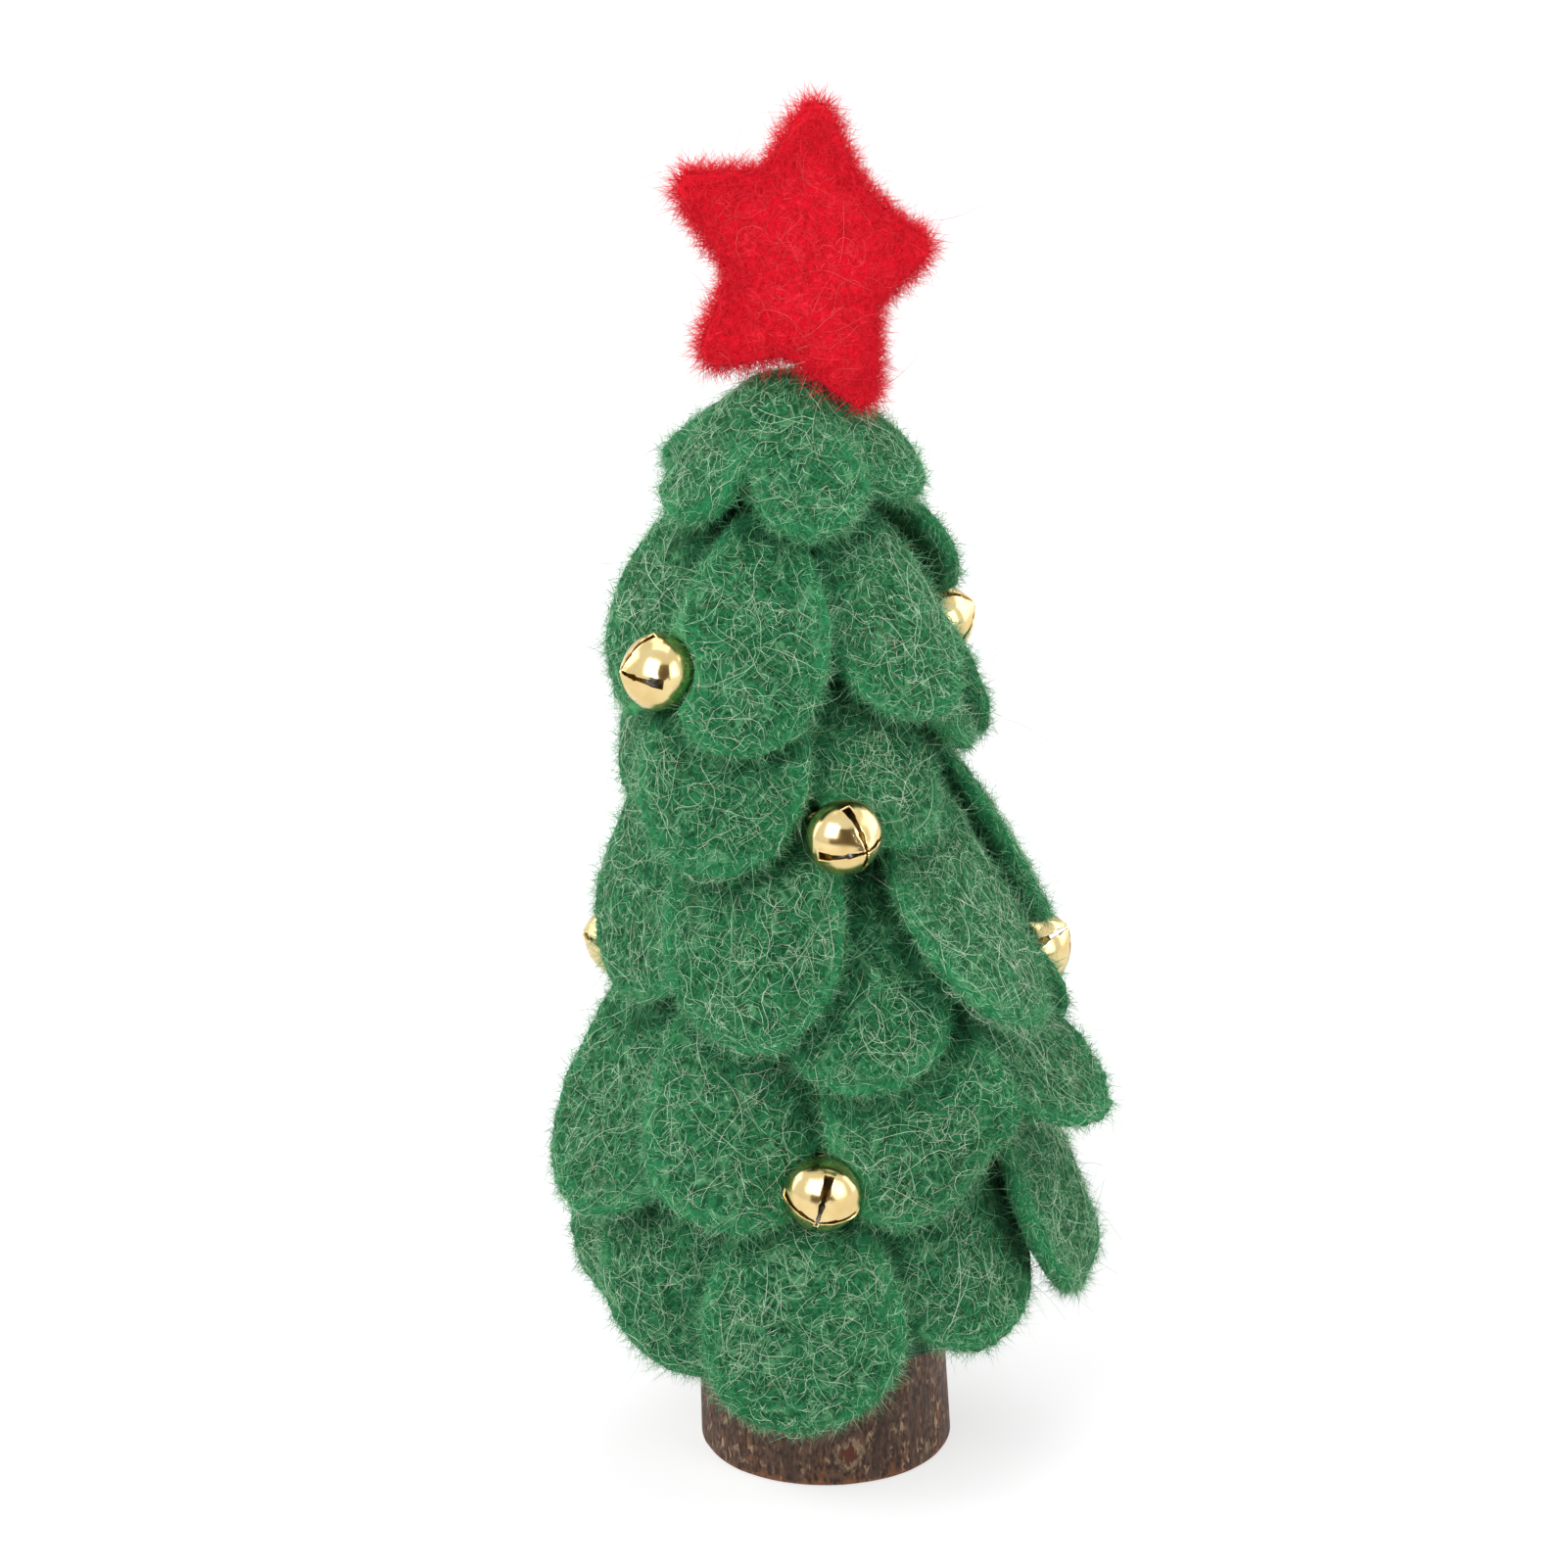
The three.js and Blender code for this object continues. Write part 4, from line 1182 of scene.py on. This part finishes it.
    def pellet(self) -> Object:
        """Model one rolled steel pellet about the origin, with its seam and flats, and return it."""
        clear_selection()
        bpy.ops.mesh.primitive_uv_sphere_add(segments=40, ring_count=24, radius=self.pellet_radius)
        ball = bpy.context.object
        ball.name = "pellet_pattern"
        with editing("DESELECT"):
            bpy.ops.mesh.select_mode(type="VERT")
        for vertex in ball.data.vertices:
            vertex.select = abs(vertex.co.z) < 0.02 * MM
        with editing(None):
            bpy.ops.transform.resize(value=(self.seam, self.seam, 1.0))
        top = self.pellet_flat * self.pellet_radius
        for vertex in ball.data.vertices:
            vertex.co.z = math.copysign(min(abs(vertex.co.z), top), vertex.co.z)
        dents = bpy.data.textures.new("pellet_dents", "CLOUDS")
        dents.noise_scale = 0.9 * MM
        finish_with(ball, "DISPLACE", strength=0.04 * MM, mid_level=1.0, texture=dents,
                    texture_coords="LOCAL")
        take(ball)
        bpy.ops.object.shade_smooth()
        ball.data.materials.append(STEEL.material())
        return ball

    def build(self) -> None:
        """Copy the bell and the pellet to their places."""
        shell, pellet = self.shell(), self.pellet()
        for k, (aim, centre) in enumerate(zip(self.aims, self.centres())):
            bell = new_object(f"bell_shell_{k + 1}", shell.data.copy())
            settle_in(bell, Matrix.Translation(Vector(centre)) @ aim.axes())
            add_piece(bell, TREE, "gold_plate", f"jingle_bell_{k + 1}")
            ball = new_object(f"steel_ball_{k + 1}", pellet.data.copy())
            low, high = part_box(f"bell_pellet_{k + 1}")
            settle_in(ball, Matrix.Translation((low + high) / 2) @ Matrix.Rotation(0.7 * k, 4, "X"))
            add_piece(ball, f"pellet_{k + 1}", "pellet_steel", f"bell_pellet_{k + 1}")
        for pattern in (shell, pellet):
            bpy.data.objects.remove(pattern)


@dataclass
class BarkLog:
    """The branch that the tree stands on: bark all round, sawn level below, with one knot."""

    foot_radius: float = 13.3 * MM
    top_radius: float = 12.8 * MM
    height: float = 24.0 * MM
    round: float = 0.4 * MM
    sides: int = 192
    steps: int = 48
    round_steps: int = 4
    knot: tuple[float, float] = (2.4 * MM, 3.7 * MM)
    knot_size: tuple[float, float] = (1.0 * MM, 1.4 * MM)
    ridge_waves: tuple[int, ...] = (3, 5, 8, 13, 21, 34)
    ridge_drift: float = 60.0
    ridge_height: float = 0.16
    ridge_sink: float = 0.75

    def build(self) -> None:
        """Model the log and tie it to the frame."""
        clear_selection()
        last_radius, last_height = self.foot_radius - self.round, 0.0
        bpy.ops.mesh.primitive_circle_add(vertices=self.sides, radius=last_radius, fill_type="NGON")
        branch = bpy.context.object
        branch.name = "bark_branch"
        with editing():
            for radius, height in self.levels():
                rise = height - last_height
                step = {"value": (-math.tan(LEAN) * rise, 0, rise)}
                bpy.ops.mesh.extrude_region_move(TRANSFORM_OT_translate=step)
                grow = radius / last_radius
                bpy.ops.transform.resize(value=(grow, grow, 1.0))
                last_radius, last_height = radius, height
            bpy.ops.mesh.select_all(action="SELECT")
            bpy.ops.mesh.normals_make_consistent(inside=False)
        self.grow_bark(branch)
        take(branch)
        bpy.ops.object.shade_smooth_by_angle(angle=math.radians(50))
        branch.data.materials.append(BARK.material())
        branch.data.materials.append(SAWN_END.material())
        for face in branch.data.polygons:
            face.material_index = int(abs(face.normal.z) > 0.95)
        add_piece(branch, TREE, "bark_wood", "log_foot")

    def levels(self) -> list[tuple[float, float]]:
        """Return the radius and height of each ring over the sawn end, round at the lower edge."""
        rings = []
        for k in range(1, self.round_steps + 1):
            turn = math.pi / 2 * k / self.round_steps
            radius = self.foot_radius - self.round * (1 - math.sin(turn))
            rings.append((radius, self.round * (1 - math.cos(turn))))
        for k in range(1, self.steps + 1):
            up = k / self.steps
            rings.append((self.foot_radius + (self.top_radius - self.foot_radius) * up,
                          self.round + (self.height - self.round) * up))
        return rings

    def grow_bark(self, branch: Object) -> None:
        """Raise the bark's ridges and its knot."""
        points = read_points(branch.data).astype(float)
        points[:, 0] += math.tan(LEAN) * points[:, 2]
        turn = np.arctan2(points[:, 0], -points[:, 1])
        rng = np.random.default_rng(7)
        ridge = np.zeros(len(points))
        for waves in self.ridge_waves:
            phase, drift = rng.uniform(0, math.tau), rng.uniform(-self.ridge_drift, self.ridge_drift)
            ridge += np.sin(waves * turn + phase + drift * points[:, 2]) / waves
        across = (turn * self.foot_radius - self.knot[0]) / self.knot_size[0]
        along = (points[:, 2] - self.knot[1]) / self.knot_size[1]
        away = np.hypot(across, along)
        bump = 0.28 * np.exp(-((away - 1.0) / 0.35) ** 2) + 0.12 * np.exp(-(away / 0.7) ** 2)
        grown = 1 + (self.ridge_height * (ridge - self.ridge_sink) + bump) * MM / self.foot_radius
        points[:, :2] *= grown[:, None]
        points[:, 0] -= math.tan(LEAN) * points[:, 2]
        write_points(branch.data, points)


@dataclass
class FoamCone:
    """The foam cone under the felt, turned from its profile, with a recess for the log."""

    foot_radius: float = 21.5 * MM
    foot_height: float = 18.0 * MM
    shoulder_radius: float = 6.0 * MM
    shoulder_height: float = 109.0 * MM
    dome_height: float = 8.8 * MM
    recess_radius: float = 13.3 * MM
    recess_height: float = 24.3 * MM
    dome_steps: int = 10
    wall_steps: int = 24
    sides: int = 96

    def profile(self) -> list[tuple[float, float]]:
        """Return the radius and height of each point of the profile, from the recess to the tip."""
        points = [(0.0, self.recess_height), (self.recess_radius, self.recess_height),
                  (self.recess_radius, self.foot_height)]
        for k in range(self.wall_steps + 1):
            up = k / self.wall_steps
            points.append((self.foot_radius + (self.shoulder_radius - self.foot_radius) * up,
                           self.foot_height + (self.shoulder_height - self.foot_height) * up))
        for k in range(1, self.dome_steps + 1):
            turn = math.pi / 2 * k / self.dome_steps
            radius = 0.0 if k == self.dome_steps else self.shoulder_radius * math.cos(turn)
            points.append((radius, self.shoulder_height + self.dome_height * math.sin(turn)))
        return points

    def build(self) -> None:
        """Turn the cone and tie it to the frame."""
        clear_selection()
        outline = bpy.data.meshes.new("foam_cone")
        points = [(r, 0.0, z) for r, z in self.profile()]
        outline.from_pydata(points, [(k, k + 1) for k in range(len(points) - 1)], [])
        cone = new_object("foam_cone", outline)
        take(cone)
        with editing():
            bpy.ops.mesh.spin(steps=self.sides, angle=math.tau, center=(0, 0, 0), axis=(0, 0, 1))
            bpy.ops.mesh.select_all(action="SELECT")
            bpy.ops.mesh.remove_doubles(threshold=0.002 * MM)
            bpy.ops.mesh.normals_make_consistent(inside=False)
        settle_in(cone, Matrix.Rotation(-LEAN, 4, "Y"))
        bpy.ops.object.shade_smooth_by_angle(angle=math.radians(40))
        cone.data.materials.append(FOAM.material())
        add_piece(cone, TREE, "foam", "core_cone")


@dataclass
class Studio:
    """The pale floor, the soft lamps and the camera."""

    elevation: float = math.radians(23.6)
    distance: float = 1.0
    target: tuple[float, float, float] = (-4.425 * MM, 0.0, 74.827 * MM)
    lens: float = 222.4
    sky: float = 0.32
    floor_glow: float = 0.6
    floor_fade: tuple[float, float] = (0.5, 1.2)

    def camera(self) -> None:
        """Stand the camera where the picture was taken."""
        data = bpy.data.cameras.new("camera")
        data.lens = self.lens
        data.sensor_width = 36.0
        data.clip_start = 0.01
        data.clip_end = 50.0
        camera = new_object("camera", data)
        back = Vector((0, -math.cos(self.elevation), math.sin(self.elevation)))
        camera.location = Vector(self.target) + back * self.distance
        camera.rotation_euler = (-back).to_track_quat("-Z", "Y").to_euler()
        bpy.context.scene.camera = camera

    def lamp(self, name: str, place: tuple[float, float, float], size: float, power: float) -> None:
        """Hang one soft square lamp that faces the tree."""
        data = bpy.data.lights.new(name, "AREA")
        data.size = size
        data.energy = power
        lamp = new_object(name, data)
        lamp.location = place
        lamp.rotation_euler = (Vector((0, 0, 0.07)) - Vector(place)).to_track_quat("-Z", "Y").to_euler()

    def world(self) -> None:
        """Make a world that is white to look at and lights plainly."""
        world = bpy.data.worlds.new("studio")
        bpy.context.scene.world = world
        world.use_nodes = True
        world.node_tree.nodes.clear()
        graph = Graph(world.node_tree)
        strength = graph.rescale(graph.seen(), 0.0, 1.0, self.sky, 1.0)
        back = graph.add("Background", {"Color": (1, 1, 1, 1), "Strength": strength})
        graph.add("OutputWorld", {"Surface": back.outputs[0]})

    def floor(self) -> None:
        """Lay the pale floor."""
        clear_selection()
        bpy.ops.mesh.primitive_plane_add(size=8.0, location=(0, 0, -0.1 * MM))
        floor = bpy.context.object
        floor.name = "floor"
        material, graph = new_material("pale_floor")
        paper = graph.add("BsdfDiffuse", {"Color": (0.5, 0.5, 0.5, 1)})
        faded = graph.rescale(graph.length(graph.place()), *self.floor_fade, 0.0, self.floor_glow)
        far = graph.times(graph.add("LightPath").outputs["Is Camera Ray"], faded)
        strength = graph.math("ADD", graph.times(graph.seen(), self.floor_glow), far)
        glow = graph.add("Emission", {"Color": (1, 1, 1, 1), "Strength": strength})
        both = graph.add("AddShader", {0: paper.outputs[0], 1: glow.outputs[0]})
        graph.add("OutputMaterial", {"Surface": both.outputs[0]})
        floor.data.materials.append(material)

    def card(self) -> None:
        """Stand a dark card behind the camera, which only polished metal mirrors."""
        clear_selection()
        bpy.ops.mesh.primitive_plane_add(size=1.0, location=(0.15, -1.6, 0.75), rotation=(math.pi / 2, 0, 0))
        card = bpy.context.object
        card.name = "dark_card"
        card.scale = (2.6, 1.7, 1.0)
        for seen in ("visible_camera", "visible_diffuse", "visible_transmission", "visible_shadow"):
            setattr(card, seen, False)
        material, graph = new_material("dark_card")
        paper = graph.add("BsdfDiffuse", {"Color": shade(150, 128, 100)})
        graph.add("OutputMaterial", {"Surface": paper.outputs[0]})
        card.data.materials.append(material)

    def build(self) -> None:
        """Set up the floor, the light and the camera."""
        self.camera()
        self.world()
        self.floor()
        self.card()
        self.lamp("key", (-0.5, -0.75, 0.7), 0.7, 8.8)
        self.lamp("fill", (0.8, -0.6, 0.4), 0.7, 4.0)
        self.lamp("top", (0.1, 0.3, 1.0), 0.8, 3.0)
        self.lamp("left rim", (-0.9, 0.45, 0.35), 0.8, 4.0)
        self.lamp("right rim", (0.9, 0.45, 0.35), 0.8, 4.0)
        view = bpy.context.scene.view_settings
        view.view_transform = "Standard"


def main() -> None:
    """Build the studio and every piece of the ornament."""
    logging.basicConfig(level=logging.INFO, format="%(name)s %(message)s")
    Studio().build()
    FoamCone().build()
    BarkLog().build()
    bells = JingleBells()
    bells.build()
    FeltCover(bells=bells.centres()).build()


if __name__ == "__main__":
    main()
